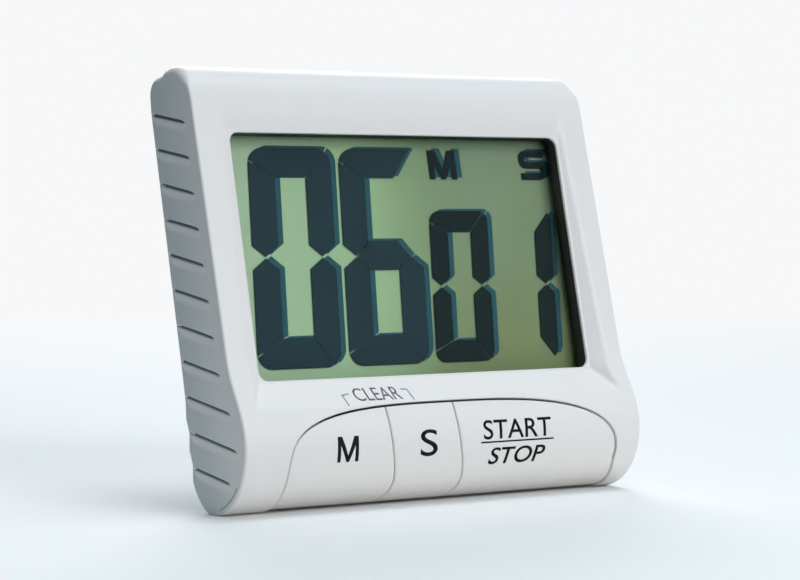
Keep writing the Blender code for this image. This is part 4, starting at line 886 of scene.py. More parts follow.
def buildBezel():  # four loops joined round and back to the first: a frame with an open mouth
    d, w = displayShape, windowShape
    wide, high, mouth = w["halfX"] + d["bezelWide"], w["halfZ"] + d["bezelWide"], d["bezelMouth"]
    outer = roundedRect(wide, -high, high, d["corner"], 10)
    openWide, openHigh = w["halfX"] + mouth, w["halfZ"] + mouth
    inner = roundedRect(openWide, -openHigh, openHigh, d["corner"], 10, w["rightMore"])
    loops = ((outer, d["bezelFront"]), (inner, d["bezelFront"]), (inner, d["bezelBack"]), (outer, d["bezelBack"]))
    rings = np.array([np.column_stack([o[:, 0], np.full(len(o), y), o[:, 1]]) for o, y in loops])
    count, around = rings.shape[:2]
    index = np.arange(count * around).reshape(count, around)
    faces = gridFaces(count, around, closed=True) + ringQuads(index[0], index[-1])
    bezel = makeMesh("window_frame", toRow(rings.reshape(-1, 3)), faces, "case", 35.0)
    outward(bezel)
    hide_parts("display_bezel")
    dress(bezel, blackFrame)


def buildDisplay():  # frame, pane, reflector, the lit segments and, just behind them, their soft shadow
    d, w = displayShape, windowShape
    buildBezel()
    wide, high = w["halfX"] + d["paneWide"], w["halfZ"] + d["paneWide"]
    pane = solid("window_pane", prism(roundedRect(wide, -high, high, d["paneCorner"], 8),
                                      d["paneFront"], d["paneFront"] + d["paneThick"]))
    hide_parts("display_window")
    dress(pane, clearPane)
    ground = roundedRect(d["halfX"] - d["groundInset"], d["low"], d["high"] - d["groundInset"], 0.5, 4)
    reflector = solid("lcd_back", prism(ground, d["groundDepth"], d["groundBack"]))
    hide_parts("lcd_reflector", "lcd_rear_glass", "lcd_front_glass")
    dress(reflector, lcdBack)
    big = digitOutlines("big", "abcdef", 0) + digitOutlines("big", "acdefg", 1)
    small = digitOutlines("small", "abcdef", 0) + digitOutlines("small", "bc", 1)
    marks = markStrokes()
    bigInk = platesFrom("minutes_digits", big, d["inkDepth"], d["inkThick"])
    smallInk = platesFrom("seconds_digits", small, d["inkDepth"], d["inkThick"])
    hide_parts("lcd_segments")
    dress(bigInk, lcdInk)
    dress(smallInk, lcdInkPaintedDarker)
    dress(platesFrom("unit_signs", marks, d["inkDepth"], d["inkThick"]), lcdInkPaintedDarker)
    moved = [outline + np.array(d["shadowShift"]) for outline in big + small + marks]
    dress(platesFrom("digit_shadows", moved, d["shadowDepth"], d["inkThick"]), lcdShadow)
    print("display built")


def glassy(name, tint, gloss):  # clear with a faint mirror by Fresnel, and smears in its roughness
    shade = Shade(name, (1, 1, 1), 0.04)
    clear = shade.tree.nodes.new("ShaderNodeBsdfTransparent")
    clear.inputs["Color"].default_value = (*tint, 1)
    shade.put("Metallic", 1.0)
    fresnel = shade.add("ShaderNodeFresnel", {}, {"IOR": gloss})
    smear = shade.noise(60.0, 3.0)
    shade.put("Roughness", (smear - 0.5) * 0.06 + 0.06)
    blendShaders(shade.tree, fresnel.socket, clear.outputs[0], shade.shader.outputs[0],
                 outputOf(shade.tree, "OUTPUT_MATERIAL"))
    return shade


def veil(name, colour, alpha):  # a see-through dark film, used as a painted shadow
    shade = Shade(name, colour, 0.6)
    shade.put("Specular IOR Level", 0.08)
    shade.put("Alpha", alpha)
    return shade


clearPane = glassy("clear_pane", (0.96, 0.975, 0.96), 1.13)
# one segment ink in two brightnesses: lighter for the minutes, darker for the seconds and signs, as painted light
# and shade
lcdInk = moulded("lcd_ink", (0.017, 0.043, 0.058), 0.7, gloss=0.08)
lcdInkPaintedDarker = moulded("lcd_ink_painted_darker", (0.004, 0.015, 0.018), 0.7, gloss=0.08)
lcdShadow = veil("lcd_shadow", (0.030, 0.130, 0.170), 0.72)


groundFinish = {
    "width": 0.07, "patchScale": 38.0, "patchShare": 0.35, "low": 0.022, "height": 0.042, "blotchScale": 62.0,
    "blotchShare": 0.9, "turnAt": 0.45, "turnGain": 3.0, "lowTone": (0.235, 0.285, 0.135),
    "highTone": (0.255, 0.355, 0.235), "fibreScale": 1800.0, "fibreSpread": 0.2,
    "stops": [(0.0, (0.47, 0.61, 0.43)), (0.38, (0.40, 0.58, 0.34)), (0.6, (0.28, 0.39, 0.21)),
              (1.0, (0.25, 0.34, 0.19))],
}


def lcdGroundPaintedLight():  # pale green at the left as painted light, darker and duller to the right as painted shade, where it also changes with height
    g = groundFinish
    shade = Shade("lcd_ground_painted_light", (0.34, 0.47, 0.30), 0.5)
    shade.put("Specular IOR Level", 0.15)
    apart = shade.add("ShaderNodeSeparateXYZ", {}, {0: shade.here()})
    patches = shade.noise(g["patchScale"], 2.0, 0.5)
    # the ramp across runs from painted light at the left to painted shade at the right
    across = (apart * (1 / g["width"]) + 0.5 + (patches - 0.5) * g["patchShare"]).clamp(0.0, 1.0)
    left = shade.ramp(across, g["stops"])
    blotches = shade.noise(g["blotchScale"], 2.0, 0.5)
    up = ((apart.of("Z") - g["low"]) / g["height"] + (blotches - 0.5) * g["blotchShare"]).clamp(0.0, 1.0)
    right = shade.mix(up, g["lowTone"], g["highTone"])
    shade.put("Base Color", shade.mix(((across - g["turnAt"]) * g["turnGain"]).clamp(0.0, 1.0), left, right))
    fibres = shade.noise(g["fibreScale"], 2.0)
    shade.put("Roughness", (fibres - 0.5) * g["fibreSpread"] + 0.5)
    return shade


lcdBack = lcdGroundPaintedLight()


printShape = {"band": 0.4, "thick": 0.02, "lift": 0.01}


def glyphs(text, box, shear=0.0, bold=0.0):  # flat letters of the built-in font, fitted to a box
    curve = bpy.data.curves.new(text, "FONT")
    curve.body = text
    curve.offset = bold
    curve.resolution_u = 6
    holder = placed(text, curve)
    graph = bpy.context.evaluated_depsgraph_get()
    flat = bpy.data.meshes.new_from_object(holder.evaluated_get(graph), depsgraph=graph)
    bpy.data.objects.remove(holder)
    weld(flat, 1e-5)
    spots = readPoints(flat)[:, :2]
    low, high = spots.min(0), spots.max(0)
    left, right, bottom, top = box
    place = (spots - low) / (high - low)
    x = left + (right - left) * place[:, 0] + shear * (place[:, 1] - 0.5)
    writePoints(flat, np.column_stack([x, np.zeros(len(x)), bottom + (top - bottom) * place[:, 1]]))
    return flat


def outlineGlyph(outline):  # one flat face from an (x, z) outline, cut into triangles
    mesh = bmesh.new()
    mesh.faces.new([mesh.verts.new((x, 0.0, z)) for x, z in outline])
    bmesh.ops.triangulate(mesh, faces=mesh.faces[:])
    flat = bpy.data.meshes.new("outline")
    mesh.to_mesh(flat)
    mesh.free()
    return flat


def thicken(mesh):  # bands across the letters, then a second layer one unit before the first
    band = printShape["band"]
    heights = [v.co.z for v in mesh.verts]
    for level in np.arange(math.ceil(min(heights) / band) * band, max(heights), band):
        bmesh.ops.bisect_plane(mesh, geom=mesh.verts[:] + mesh.edges[:] + mesh.faces[:], dist=1e-6,
                               plane_co=(0, 0, level), plane_no=(0, 0, 1))
    grown = bmesh.ops.extrude_face_region(mesh, geom=mesh.faces[:])["geom"]
    lifted = [v for v in grown if isinstance(v, bmesh.types.BMVert)]
    bmesh.ops.translate(mesh, verts=lifted, vec=(0, -1, 0))


def printed(name, flat, depthAt, body):  # flat letters bent onto a surface as a thin layer of ink
    edit(flat, thicken)
    flat.name = name
    spots = readPoints(flat)
    depth = depthAt(spots[:, 0], spots[:, 2]) - np.where(spots[:, 1] < -0.5, printShape["thick"], 0.0)
    writePoints(flat, toRow(np.column_stack([spots[:, 0], depth, spots[:, 2]])))
    made = placed(name, flat)
    outward(made)
    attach(made, body)
    return made


def straightM(left, right, low, high, stroke):  # upright legs, the middle point low between them
    middle, lean = (left + right) / 2, stroke * 1.2
    fork, foot, crown = high - lean * 1.9, stroke * 0.42, lean * 1.15
    return [(left, low), (left + stroke, low), (left + stroke, fork), (middle - foot, low), (middle + foot, low),
            (right - stroke, fork), (right - stroke, low), (right, low), (right, high), (right - crown, high),
            (middle, low + stroke * 1.5), (left + crown, high), (left, high)]


def keyFront(x, z):  # depth of the key caps' outer face
    return onBulge(x, runAt(z), panelShape["sink"])[:, 1] + printShape["lift"]


def shellFront(x, z):  # depth of the shell's front round the window
    return -frontHeight(z) + recessDepth(x, z) + printShape["lift"]


def bar(name, corners, depthAt, body, steps=24):  # a printed line: strip between two rows of points
    (x0, z0), (x1, z1), width = corners
    along = np.linspace(0, 1, steps)
    x = x0 + (x1 - x0) * along
    z = z0 + (z1 - z0) * along
    length = math.hypot(x1 - x0, z1 - z0)
    offX, offZ = -(z1 - z0) / length * width / 2, (x1 - x0) / length * width / 2
    rings = []
    for side, lift in ((-1, 0), (1, 0), (1, printShape["thick"]), (-1, printShape["thick"])):
        px, pz = x + side * offX, z + side * offZ
        rings.append(np.column_stack([px, depthAt(px, pz) - lift, pz]))
    return solid(name, np.transpose(np.array(rings), (1, 0, 2)), body, 0)


legendShape = {
    "minutes": (-23.85, -19.6, -36.5, -32.3), "minutesStroke": 0.66, "seconds": (-6.85, -3.25, -36.45, -31.95),
    "start": (6.55, 21.5, -34.35, -30.95), "stop": (8.25, 20.2, -38.5, -35.75), "stopLean": 0.55,
    "rule": ((6.0, -34.8), (22.0, -34.8), 0.27), "clear": (-18.2, -8.7, -26.3, -23.7),
    "hooks": [((-20.65, -25.0), (-19.1, -24.75), 0.30), ((-20.55, -25.0), (-20.4, -27.1), 0.30),
              ((-8.1, -24.35), (-6.75, -24.35), 0.30), ((-6.85, -24.4), (-6.6, -26.5), 0.30)],
}


def buildLegends():  # key names in black, the clear sign and its hooks in grey
    p = legendShape
    ink = moulded("black_print", (0.006, 0.006, 0.010), 0.6, gloss=0.1)
    grey = moulded("grey_print", (0.34, 0.35, 0.39), 0.6, gloss=0.1)
    left, right, low, high = p["minutes"]
    letter = outlineGlyph(straightM(left, right, low, high, p["minutesStroke"]))
    dress(printed("legend_minutes", letter, keyFront, "minutes_key"), ink)
    dress(printed("legend_seconds", glyphs("S", p["seconds"], bold=0.004), keyFront, "seconds_key"), ink)
    dress(printed("legend_start", glyphs("START", p["start"], bold=0.008), keyFront, "start_stop_key"), ink)
    dress(printed("legend_stop", glyphs("STOP", p["stop"], p["stopLean"], 0.011), keyFront, "start_stop_key"), ink)
    dress(bar("legend_rule", p["rule"], keyFront, "start_stop_key"), ink)
    dress(printed("legend_clear", glyphs("CLEAR", p["clear"], bold=0.004), shellFront, "case"), grey)
    for number, corners in enumerate(p["hooks"]):
        dress(bar(f"legend_hook_{number + 1}", corners, shellFront, "case", 8), grey)
    print("legends printed")


def bevelled(piece, width, segments, angle=30.0):  # rounds the edges that turn by more than the angle
    step = piece.modifiers.new("edge", "BEVEL")
    step.width = width * mm
    step.segments = segments
    step.limit_method = "ANGLE"
    step.angle_limit = math.radians(angle)
    step.harden_normals = True


def refine(node, name, angle, shade, body="case"):  # a CAD solid's copy, its flat faces merged
    data = weld(nodes[node].data.copy(), 2e-6)
    edit(data, lambda mesh: bmesh.ops.dissolve_limit(mesh, angle_limit=math.radians(1.0), verts=mesh.verts,
                                                     edges=mesh.edges))
    data.name = name
    made = placed(name, data)
    shadeByAngle(made, angle)
    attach(made, body)
    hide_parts(node)
    return dress(made, shade)


screwShape = {"x": 36.9, "levels": (27.9, -28.6), "seat": 12.9, "headRadius": 1.7, "head": 0.78, "dome": 0.34,
              "length": 5.0, "shank": 0.62, "thread": 0.09, "pitch": 0.7, "point": 0.8, "taper": 0.45,
              "slotHalf": 0.21, "slotReach": 1.02, "slotDepth": 0.46, "wallSlope": 0.12, "endSlope": 0.22,
              "flat": 0.12, "around": 96, "across": 34, "along": 60, "turns": (0.35, 1.1, 0.8, 0.15)}


def screwRings(s, spin):  # domed head with two crossed slots, then a threaded shank; rings about the screw's axis
    around = np.linspace(0, 2 * np.pi, s["around"] + 1)[:-1]
    cosine, sine = np.cos(around), np.sin(around)
    r = np.linspace(0.03, s["headRadius"] - s["flat"], s["across"])[:, None]
    x, z = r * cosine, r * sine
    u, v = x * np.cos(spin) + z * np.sin(spin), z * np.cos(spin) - x * np.sin(spin)
    slots = 0
    for beside, ahead in ((u, v), (v, u)):
        wide = blendStep((s["slotHalf"] + s["wallSlope"] / 2 - np.abs(beside)) / s["wallSlope"])
        slots = np.maximum(slots, wide * blendStep((s["slotReach"] - np.abs(ahead)) / s["endSlope"]))
    top = s["seat"] + s["head"] - s["dome"] * (r / s["headRadius"]) ** 2 - s["slotDepth"] * slots
    edge, rim = s["headRadius"], s["seat"] + s["head"] - s["dome"]
    radii = np.array([edge - 0.04, edge, edge, edge - 0.08])[:, None]
    levels = np.array([rim - 0.02, rim - 0.12, s["seat"] + 0.08, s["seat"]])[:, None]
    depth = np.linspace(s["seat"] - 0.1, s["seat"] - s["length"], s["along"])[:, None]
    fade = np.clip((s["seat"] - s["length"] + s["point"] - depth) / s["point"], 0, 1)
    shank = s["shank"] + s["thread"] * np.sin(around + depth * 2 * np.pi / s["pitch"]) - fade * s["taper"]
    return np.concatenate([np.stack([x, top, z], -1),
                           np.stack([radii * cosine, levels + 0 * around, radii * sine], -1),
                           np.stack([shank * cosine, depth + 0 * around, shank * sine], -1)])


def buildScrews():  # four screws in the corners of the back cover, each turned a little differently
    s = screwShape
    metal = plated("screw_steel", (0.60, 0.60, 0.585), (0.42, 0.41, 0.38), 0.30)
    spots = [(side * s["x"], level) for side in (-1, 1) for level in s["levels"]]
    for number, ((x, z), spin) in enumerate(zip(spots, s["turns"])):
        made = solid(f"cover_screw_{number + 1}", screwRings(s, spin) + np.array([x, 0, z]), smooth=40.0)
        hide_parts(f"case_screw_{number + 1}")
        dress(made, metal)


legShape = {"halfWidth": 18.0, "length": 25.8, "half": 0.85, "tipRadius": 4.0, "edge": 0.3, "barrel": 1.1,
            "footMore": 0.5, "footEnds": 0.8, "pinHole": 0.8, "pinDepth": 4.5,
            "grooves": (17.45, 14.45), "grooveHalf": 13.0, "grooveRadius": 0.65, "grooveDeep": 0.4,
            "grooveEnds": 0.4,
            "pocketHalf": 3.7, "pocketLow": 5.2, "pocketHigh": 20.0, "pocketDeep": 0.5, "pocketPitch": 9.4,
            "pocketCorner": 1.3, "pocketSteps": [(0.22, 0.0), (0.08, 0.06), (0.0, 0.2)], "above": 2.0}
pinLow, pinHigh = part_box("stand_pin_left")
legRoot = (pinLow + pinHigh) / 2 / mm
legTurn = math.acos((legRoot.z - legShape["half"]) / (legShape["length"] - legShape["half"]))


def onLeg(points):  # x across the leg, then along it from the hinge, then out of its upper face: row metres
    x, along, out = points[..., 0], points[..., 1], points[..., 2]
    y = legRoot.y + along * math.sin(legTurn) + out * math.cos(legTurn)
    z = legRoot.z - along * math.cos(legTurn) + out * math.sin(legTurn)
    return np.stack([x, y, z], -1) * mm


def levelRings(outline, steps):  # an outline at several (inset, height) steps
    full = np.ones(len(outline))
    return np.array([np.column_stack([insetLoop(outline, full * inset), full * out]) for inset, out in steps])


def rodRings(radius, low, high, middle, out=0.0, flat=1.0, ends=0.15, count=40):  # a soft-ended rod across the leg
    turn = np.linspace(0, 2 * np.pi, count + 1)[:-1]
    slope = np.radians(np.linspace(0, 90, 6))
    inset = ends * (1 - np.sin(slope))
    x = np.concatenate([low + ends * (1 - np.cos(slope)), high - ends * (1 - np.cos(slope[::-1]))])[:, None]
    r = radius - np.concatenate([inset, inset[::-1]])[:, None]
    return np.stack([x + 0 * turn, middle + r * np.cos(turn), out + flat * r * np.sin(turn)], -1)


def legOutline():  # hinge side straight, sides straight, both corners at the tip round
    g = legShape
    tip, half = g["length"] - g["half"], g["halfWidth"]
    turn = np.linspace(0, np.pi / 2, 10)
    radius = g["tipRadius"]
    right = np.column_stack([half - radius * (1 - np.cos(turn)), tip - radius * (1 - np.sin(turn))])
    left = (right * np.array([-1, 1]))[::-1]
    side = np.linspace(0, tip - radius, 8)[:-1]
    return np.vstack([np.column_stack([np.linspace(-1, 1, 20)[:-1] * half, np.zeros(19)]),
                      np.column_stack([np.full(7, half), side]), right, left,
                      np.column_stack([np.full(7, -half), side])[:0:-1]])


def buildLeg():  # plate with rolled edges, barrel and foot, less pin holes, two grooves and three cored pockets
    g = legShape
    reach, tip = g["halfWidth"], g["length"] - g["half"]
    foot = reach - g["tipRadius"] + g["footMore"]
    flat = g["half"] - g["edge"]
    steps = [(g["edge"] * (1 - math.cos(a)), math.copysign(flat, a) + g["edge"] * math.sin(a))
             for a in np.radians(np.linspace(-90, 90, 9)) if a]
    leg = solid("stand_leg", levelRings(legOutline(), steps), "stand", place=onLeg)
    rods = (rodRings(g["barrel"], -reach, reach, 0.0),
            rodRings(g["half"] - 0.01, -foot, foot, tip, ends=g["footEnds"]))
    cutAway(leg, [solid("rod", rod, place=onLeg) for rod in rods], "UNION")
    cuts = []
    for sign in (-1, 1):
        low, high = sorted((sign * (reach - g["pinDepth"]), sign * (reach + 1)))
        cuts.append(rodRings(g["pinHole"], low, high, 0.0))
    for along in g["grooves"]:
        cuts.append(rodRings(g["grooveRadius"], -g["grooveHalf"], g["grooveHalf"], along, -g["half"],
                             g["grooveDeep"] / g["grooveRadius"], g["grooveEnds"]))
    floor = g["half"] - g["pocketDeep"]
    steps = [(inset, floor + out) for inset, out in g["pocketSteps"]] + [(0.0, g["above"])]
    for place in (-1, 0, 1):
        mouth = roundedRect(g["pocketHalf"], g["pocketLow"], g["pocketHigh"], g["pocketCorner"], 6)
        cuts.append(levelRings(mouth + np.array([place * g["pocketPitch"], 0]), steps))
    cutAway(leg, [solid("cut", rings, place=onLeg) for rings in cuts])
    settleNormals(leg)
    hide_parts("stand")
    dress(leg, whiteBack)


lidArrow = {"halfWidth": 2.6, "height": 2.3, "low": -34.3, "face": 13.8, "deep": 0.22, "edge": 0.14}


def buildLid():  # the lid keeps its grips; a sunken arrow under them points the way it opens
    lid = refine("battery_lid", "lid", 35, whiteBack, "battery_lid")
    a = lidArrow
    top = a["low"] + a["height"]
    outline = [(-a["halfWidth"], top), (0, a["low"]), (a["halfWidth"], top)]
    cutAway(lid, [solid("arrow", prism(outline, a["face"] - a["deep"], a["face"] + 1))])
    bevelled(lid, a["edge"], 2)


coverShape = {
    "half": 39.9, "low": -37.0, "high": 30.3, "corner": 1.5, "front": 12.3, "back": 13.8, "edge": 0.2,
    "edgeSteps": [(0.0, 1.0), (0.3, 0.3), (1.0, 0.0)], "behind": 0.2,
    "trayHalf": 18.5, "trayLow": -23.2, "trayHigh": 6.0, "trayBack": 11.3, "skin": 1.0, "wall": 1.2, "notch": 6.0,
    "trayCorner": 0.5, "cup": 7.3, "cupX": 27.0, "cupLevel": 18.0, "cupFloor": 11.25, "cupWall": 1.0,
    "cupSkin": 0.9,
    "bayLeft": -25.9, "bayRight": 23.9, "bayHigh": -26.2, "bayFront": 4.6, "bayWall": 1.1, "bayRoof": 0.8,
    "bayCorner": 0.3, "clear": 1.2, "seat": 2.05, "seatFloor": 12.8, "through": 9.0,
    "sound": 0.75, "soundRing": 3.6, "soundLevel": 21.0, "pinX": 14.7, "pin": 0.7, "pinLong": 6.0,
    "pinDepth": 12.6, "pinLevel": -20.3,
}


def disc(x, z, radius, count=64):  # a circle's points about (x, z)
    turn = np.linspace(0, 2 * np.pi, count + 1)[:-1]
    return np.column_stack([x + radius * np.cos(turn), z + radius * np.sin(turn)])


def block(left, right, low, high, corner=0.01):  # a rectangle's points, round at the corners
    outline = roundedRect((right - left) / 2, low, high, corner, 6)
    return outline + np.array([(left + right) / 2, 0])


def coverParts():  # what stands out of the plate's inner face: tray, finger notch, battery bay, two magnet cups
    c = coverShape
    wall, bay, behind = c["wall"], c["bayWall"], c["front"] + c["behind"]
    trayFront = c["trayBack"] - c["skin"]
    tray = block(-c["trayHalf"] - wall, c["trayHalf"] + wall, c["trayLow"] - wall, c["trayHigh"] + wall)
    yield tray, trayFront, behind
    yield disc(0, c["trayHigh"], c["notch"] + wall), trayFront, behind
    outline = block(c["bayLeft"] - bay, c["bayRight"] + bay, c["low"], c["bayHigh"] + c["bayRoof"])
    yield outline, c["bayFront"], behind
    for side in (-1, 1):
        yield disc(side * c["cupX"], c["cupLevel"], c["cup"] + c["cupWall"]), c["cupFloor"] - c["cupSkin"], behind


def coverHoles():  # their insides, the screw holes with seats, and seven sound holes
    c = coverShape
    mouth, through = c["back"] + 1, c["through"]
    yield block(-c["trayHalf"], c["trayHalf"], c["trayLow"], c["trayHigh"], c["trayCorner"]), c["trayBack"], mouth
    yield disc(0, c["trayHigh"], c["notch"]), c["trayBack"], mouth
    bay = block(c["bayLeft"], c["bayRight"], c["low"] - 1, c["bayHigh"], c["bayCorner"])
    yield bay, c["bayFront"] - 1, mouth
    for side in (-1, 1):
        yield disc(side * c["cupX"], c["cupLevel"], c["cup"]), c["cupFloor"], mouth
        for level in screwShape["levels"]:
            yield disc(side * screwShape["x"], level, c["clear"], 24), through, mouth
            yield disc(side * screwShape["x"], level, c["seat"], 40), c["seatFloor"], mouth
    for turn in np.arange(6) * np.pi / 3:
        level = c["soundLevel"] + c["soundRing"] * math.sin(turn)
        yield disc(c["soundRing"] * math.cos(turn), level, c["sound"], 24), through, mouth
    yield disc(0, c["soundLevel"], c["sound"], 24), through, mouth


def buildCover():  # plate with rolled edges, joined with its parts, then cut by the holes and the two pin holes
    c = coverShape
    outline = roundedRect(c["half"], c["low"], c["high"], c["corner"], 8)
    steps = [(c["edge"] * inset, c["back"] - c["edge"] * before) for inset, before in c["edgeSteps"]]
    made = solid("rear_cover", levelRings(outline, [(0.0, c["front"])] + steps)[..., [0, 2, 1]])
    cutAway(made, [solid("part", prism(*part)) for part in coverParts()], "UNION")
    cutters = [solid("hole", prism(*hole)) for hole in coverHoles()]
    pin = disc(c["pinDepth"], c["pinLevel"], c["pin"], 24)
    for side in (-1, 1):
        ends = [np.column_stack([np.full(24, side * x), pin]) for x in (c["pinX"], c["pinX"] + c["pinLong"])]
        cutters.append(solid("pin_hole", np.array(ends)))
    cutAway(made, cutters)
    settleNormals(made)
    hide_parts("rear_case")
    dress(made, whiteBack)


def buildBack():  # cover, lid, leg, screws, then the cell and both magnets
    buildCover()
    buildLid()
    buildLeg()
    buildScrews()
    bevelled(refine("battery", "battery_cell", 40, cellJacket()), 0.2, 3, 40)
    for side in ("left", "right"):
        name = "magnet_" + side
        bevelled(refine(side + "_magnet", name, 40, sintered(name)), 0.35, 3, 40)
    print("back built")


metalFinish = {"lineScale": 700.0, "cloudScale": 260.0, "detail": (3.0, 0.6), "brighter": 1.25, "wearReach": 0.12,
               "lineSpread": 0.25, "cloudSpread": 0.2, "grain": 0.006, "bumpShare": 0.5, "edge": 0.08}


# metal with drawn lines, tarnish clouds and rubbed edges
def plated(name, colour, tarnish, roughness, drawn=(1.0, 1.0, 9.0)):
    m = metalFinish
    shade = Shade(name, colour, roughness, Metallic=1.0)
    lines = shade.noise(m["lineScale"], *m["detail"], shade.stretched(drawn))
    clouds = shade.noise(m["cloudScale"], *m["detail"])
    bright = tuple(min(c * m["brighter"], 1.0) for c in colour)
    worn = shade.rubbed(m["wearReach"] * mm)
    shade.put("Base Color", shade.mix(worn, shade.mix(clouds, colour, tarnish), bright))
    shade.put("Roughness", (lines - 0.5) * m["lineSpread"] + (clouds - 0.5) * m["cloudSpread"] + roughness)
    shade.relief(lines, m)
    return shade


ferriteFinish = {"grainScale": 1500.0, "grainDetail": (3.0, 0.7), "cloudScale": 180.0, "cloudDetail": (3.0, 0.6),
                 "glintFrom": 0.66, "glintGain": 12.0,
                 "dark": (0.030, 0.030, 0.033), "grey": (0.060, 0.059, 0.062),
                 "glint": (0.15, 0.15, 0.155), "chip": (0.17, 0.17, 0.175), "chipReach": 0.3, "chipGain": 7.0,
                 "chipShare": 0.7, "roughness": 0.62, "glintGloss": 0.25, "chipGloss": 0.1, "grain": 0.02,
                 "bumpShare": 0.6, "edge": 0.15}


def sintered(name):  # dark pressed ferrite: mottled, with sparse glints and greyer chipped edges
    f = ferriteFinish
    shade = Shade(name, (0.05, 0.05, 0.055), 0.55)
    grains = shade.noise(f["grainScale"], *f["grainDetail"])
    clouds = shade.noise(f["cloudScale"], *f["cloudDetail"])
    glints = ((grains - f["glintFrom"]) * f["glintGain"]).clamp(0.0, 1.0)
    chipped = shade.rubbed(f["chipReach"] * mm, f["chipGain"]) * (grains * 2.0).clamp(0.0, 1.0)
    glinting = shade.mix(glints, shade.mix(clouds, f["dark"], f["grey"]), f["glint"])
    shade.put("Base Color", shade.mix(chipped * f["chipShare"], glinting, f["chip"]))
    shade.put("Roughness", f["roughness"] - glints * f["glintGloss"] - chipped * f["chipGloss"])
    shade.relief(grains, f)
    return shade


boardPaint = {"runScale": 160.0, "runWidth": 0.03, "stagger": 0.35, "clothScale": 2200.0, "runShare": 0.6,
              "mask": (0.020, 0.125, 0.050), "paleMask": (0.035, 0.165, 0.075), "run": (0.075, 0.27, 0.12),
              "roughness": 0.32, "clothSpread": 0.15, "relief": 0.03, "bumpShare": 0.4}


def boardFinish(name):  # solder mask over glass cloth, with paler copper runs under it
    p = boardPaint
    shade = Shade(name, (0.03, 0.16, 0.07), 0.35)
    runs = shade.add("ShaderNodeTexBrick", {"offset": p["stagger"]},
                     {"Vector": shade.here(), "Scale": p["runScale"], "Mortar Size": p["runWidth"],
                      "Color1": (0, 0, 0), "Color2": (0.2, 0.2, 0.2), "Mortar": (1, 1, 1)})
    cloth = shade.noise(p["clothScale"], 2.0, 0.5)
    mask = shade.mix(cloth, p["mask"], p["paleMask"])
    shade.put("Base Color", shade.mix(runs * p["runShare"], mask, p["run"]))
    shade.put("Roughness", (cloth - 0.5) * p["clothSpread"] + p["roughness"])
    shade.put("Normal", shade.bump(runs, p["relief"] * mm, p["bumpShare"]))
    return shade


layerFinish = {"from": 0.42, "gain": 8.0, "speckScale": 1400.0, "speckSpread": 0.2, "speckRelief": 0.4,
               "grain": 0.01, "bumpShare": 0.5, "edge": 0.08}


def layered(name, colour, other, roughness, scale, drawn):  # thin layers drawn along one axis, with soft speckle
    l = layerFinish
    shade = Shade(name, colour, roughness)
    layers = shade.noise(scale, 1.0, 0.5, shade.stretched(drawn))
    sharp = ((layers - l["from"]) * l["gain"]).clamp(0.0, 1.0)
    speck = shade.noise(l["speckScale"], 2.0, 0.6)
    shade.put("Base Color", shade.mix(sharp, colour, other))
    shade.put("Roughness", (speck - 0.5) * l["speckSpread"] + roughness)
    relief = sharp + speck * l["speckRelief"]
    shade.relief(relief, l)
    return shade


jacketShape = {"leftCap": -20.7, "rightCap": 22.1, "ring": 12.0, "sharpness": 20.0, "dark": (0.022, 0.023, 0.026),
               "paler": (0.034, 0.035, 0.040), "copper": (0.42, 0.20, 0.09), "steel": (0.60, 0.60, 0.58),
               "scratched": (0.45, 0.45, 0.43), "smudgeScale": 120.0, "scratchScale": 500.0,
               "drawn": (8.0, 1.0, 1.0), "ringMetal": 0.6, "roughness": 0.26, "smudgeSpread": 0.2,
               "scratchSpread": 0.1, "capDuller": 0.08, "grain": 0.006, "bumpShare": 0.4, "edge": 0.1}


def cellJacket():  # bare dark jacket with a plain copper end; both end faces are steel
    j = jacketShape
    shade = Shade("cell_jacket", j["dark"], 0.3)
    x = shade.add("ShaderNodeSeparateXYZ", {}, {0: shade.here()}).of("X") / mm
    rightCap = ((x - j["rightCap"]) * j["sharpness"]).clamp(0.0, 1.0)
    caps = rightCap + ((j["leftCap"] - x) * j["sharpness"]).clamp(0.0, 1.0)
    ring = ((x - j["ring"]) * j["sharpness"]).clamp(0.0, 1.0)
    smudge = shade.noise(j["smudgeScale"], 3.0, 0.6)
    scratch = shade.noise(j["scratchScale"], 2.0, 0.6, shade.stretched(j["drawn"]))
    jacket = shade.mix(ring, shade.mix(smudge, j["dark"], j["paler"]), j["copper"])
    shade.put("Base Color", shade.mix(caps, jacket, shade.mix(scratch, j["steel"], j["scratched"])))
    shade.put("Metallic", caps.above(ring * j["ringMetal"]))
    spread = (smudge - 0.5) * j["smudgeSpread"] + (scratch - 0.5) * j["scratchSpread"]
    shade.put("Roughness", spread + caps * j["capDuller"] + j["roughness"])
    shade.relief(scratch, j)
    return shade


layerTones = {"zebra_layers": ((0.36, 0.36, 0.37), (0.06, 0.06, 0.065), 0.6, 900.0, (6.0, 0.2, 0.2)),
              "flat_jumper": ((0.52, 0.52, 0.53), (0.38, 0.38, 0.40), 0.45, 1600.0, (3.0, 0.1, 0.1))}
metalTones = {"nickel": ((0.60, 0.60, 0.58), (0.43, 0.42, 0.39), 0.32),
              "brass_disc": ((0.66, 0.48, 0.20), (0.42, 0.28, 0.11), 0.34, (1.0, 1.0, 1.0))}


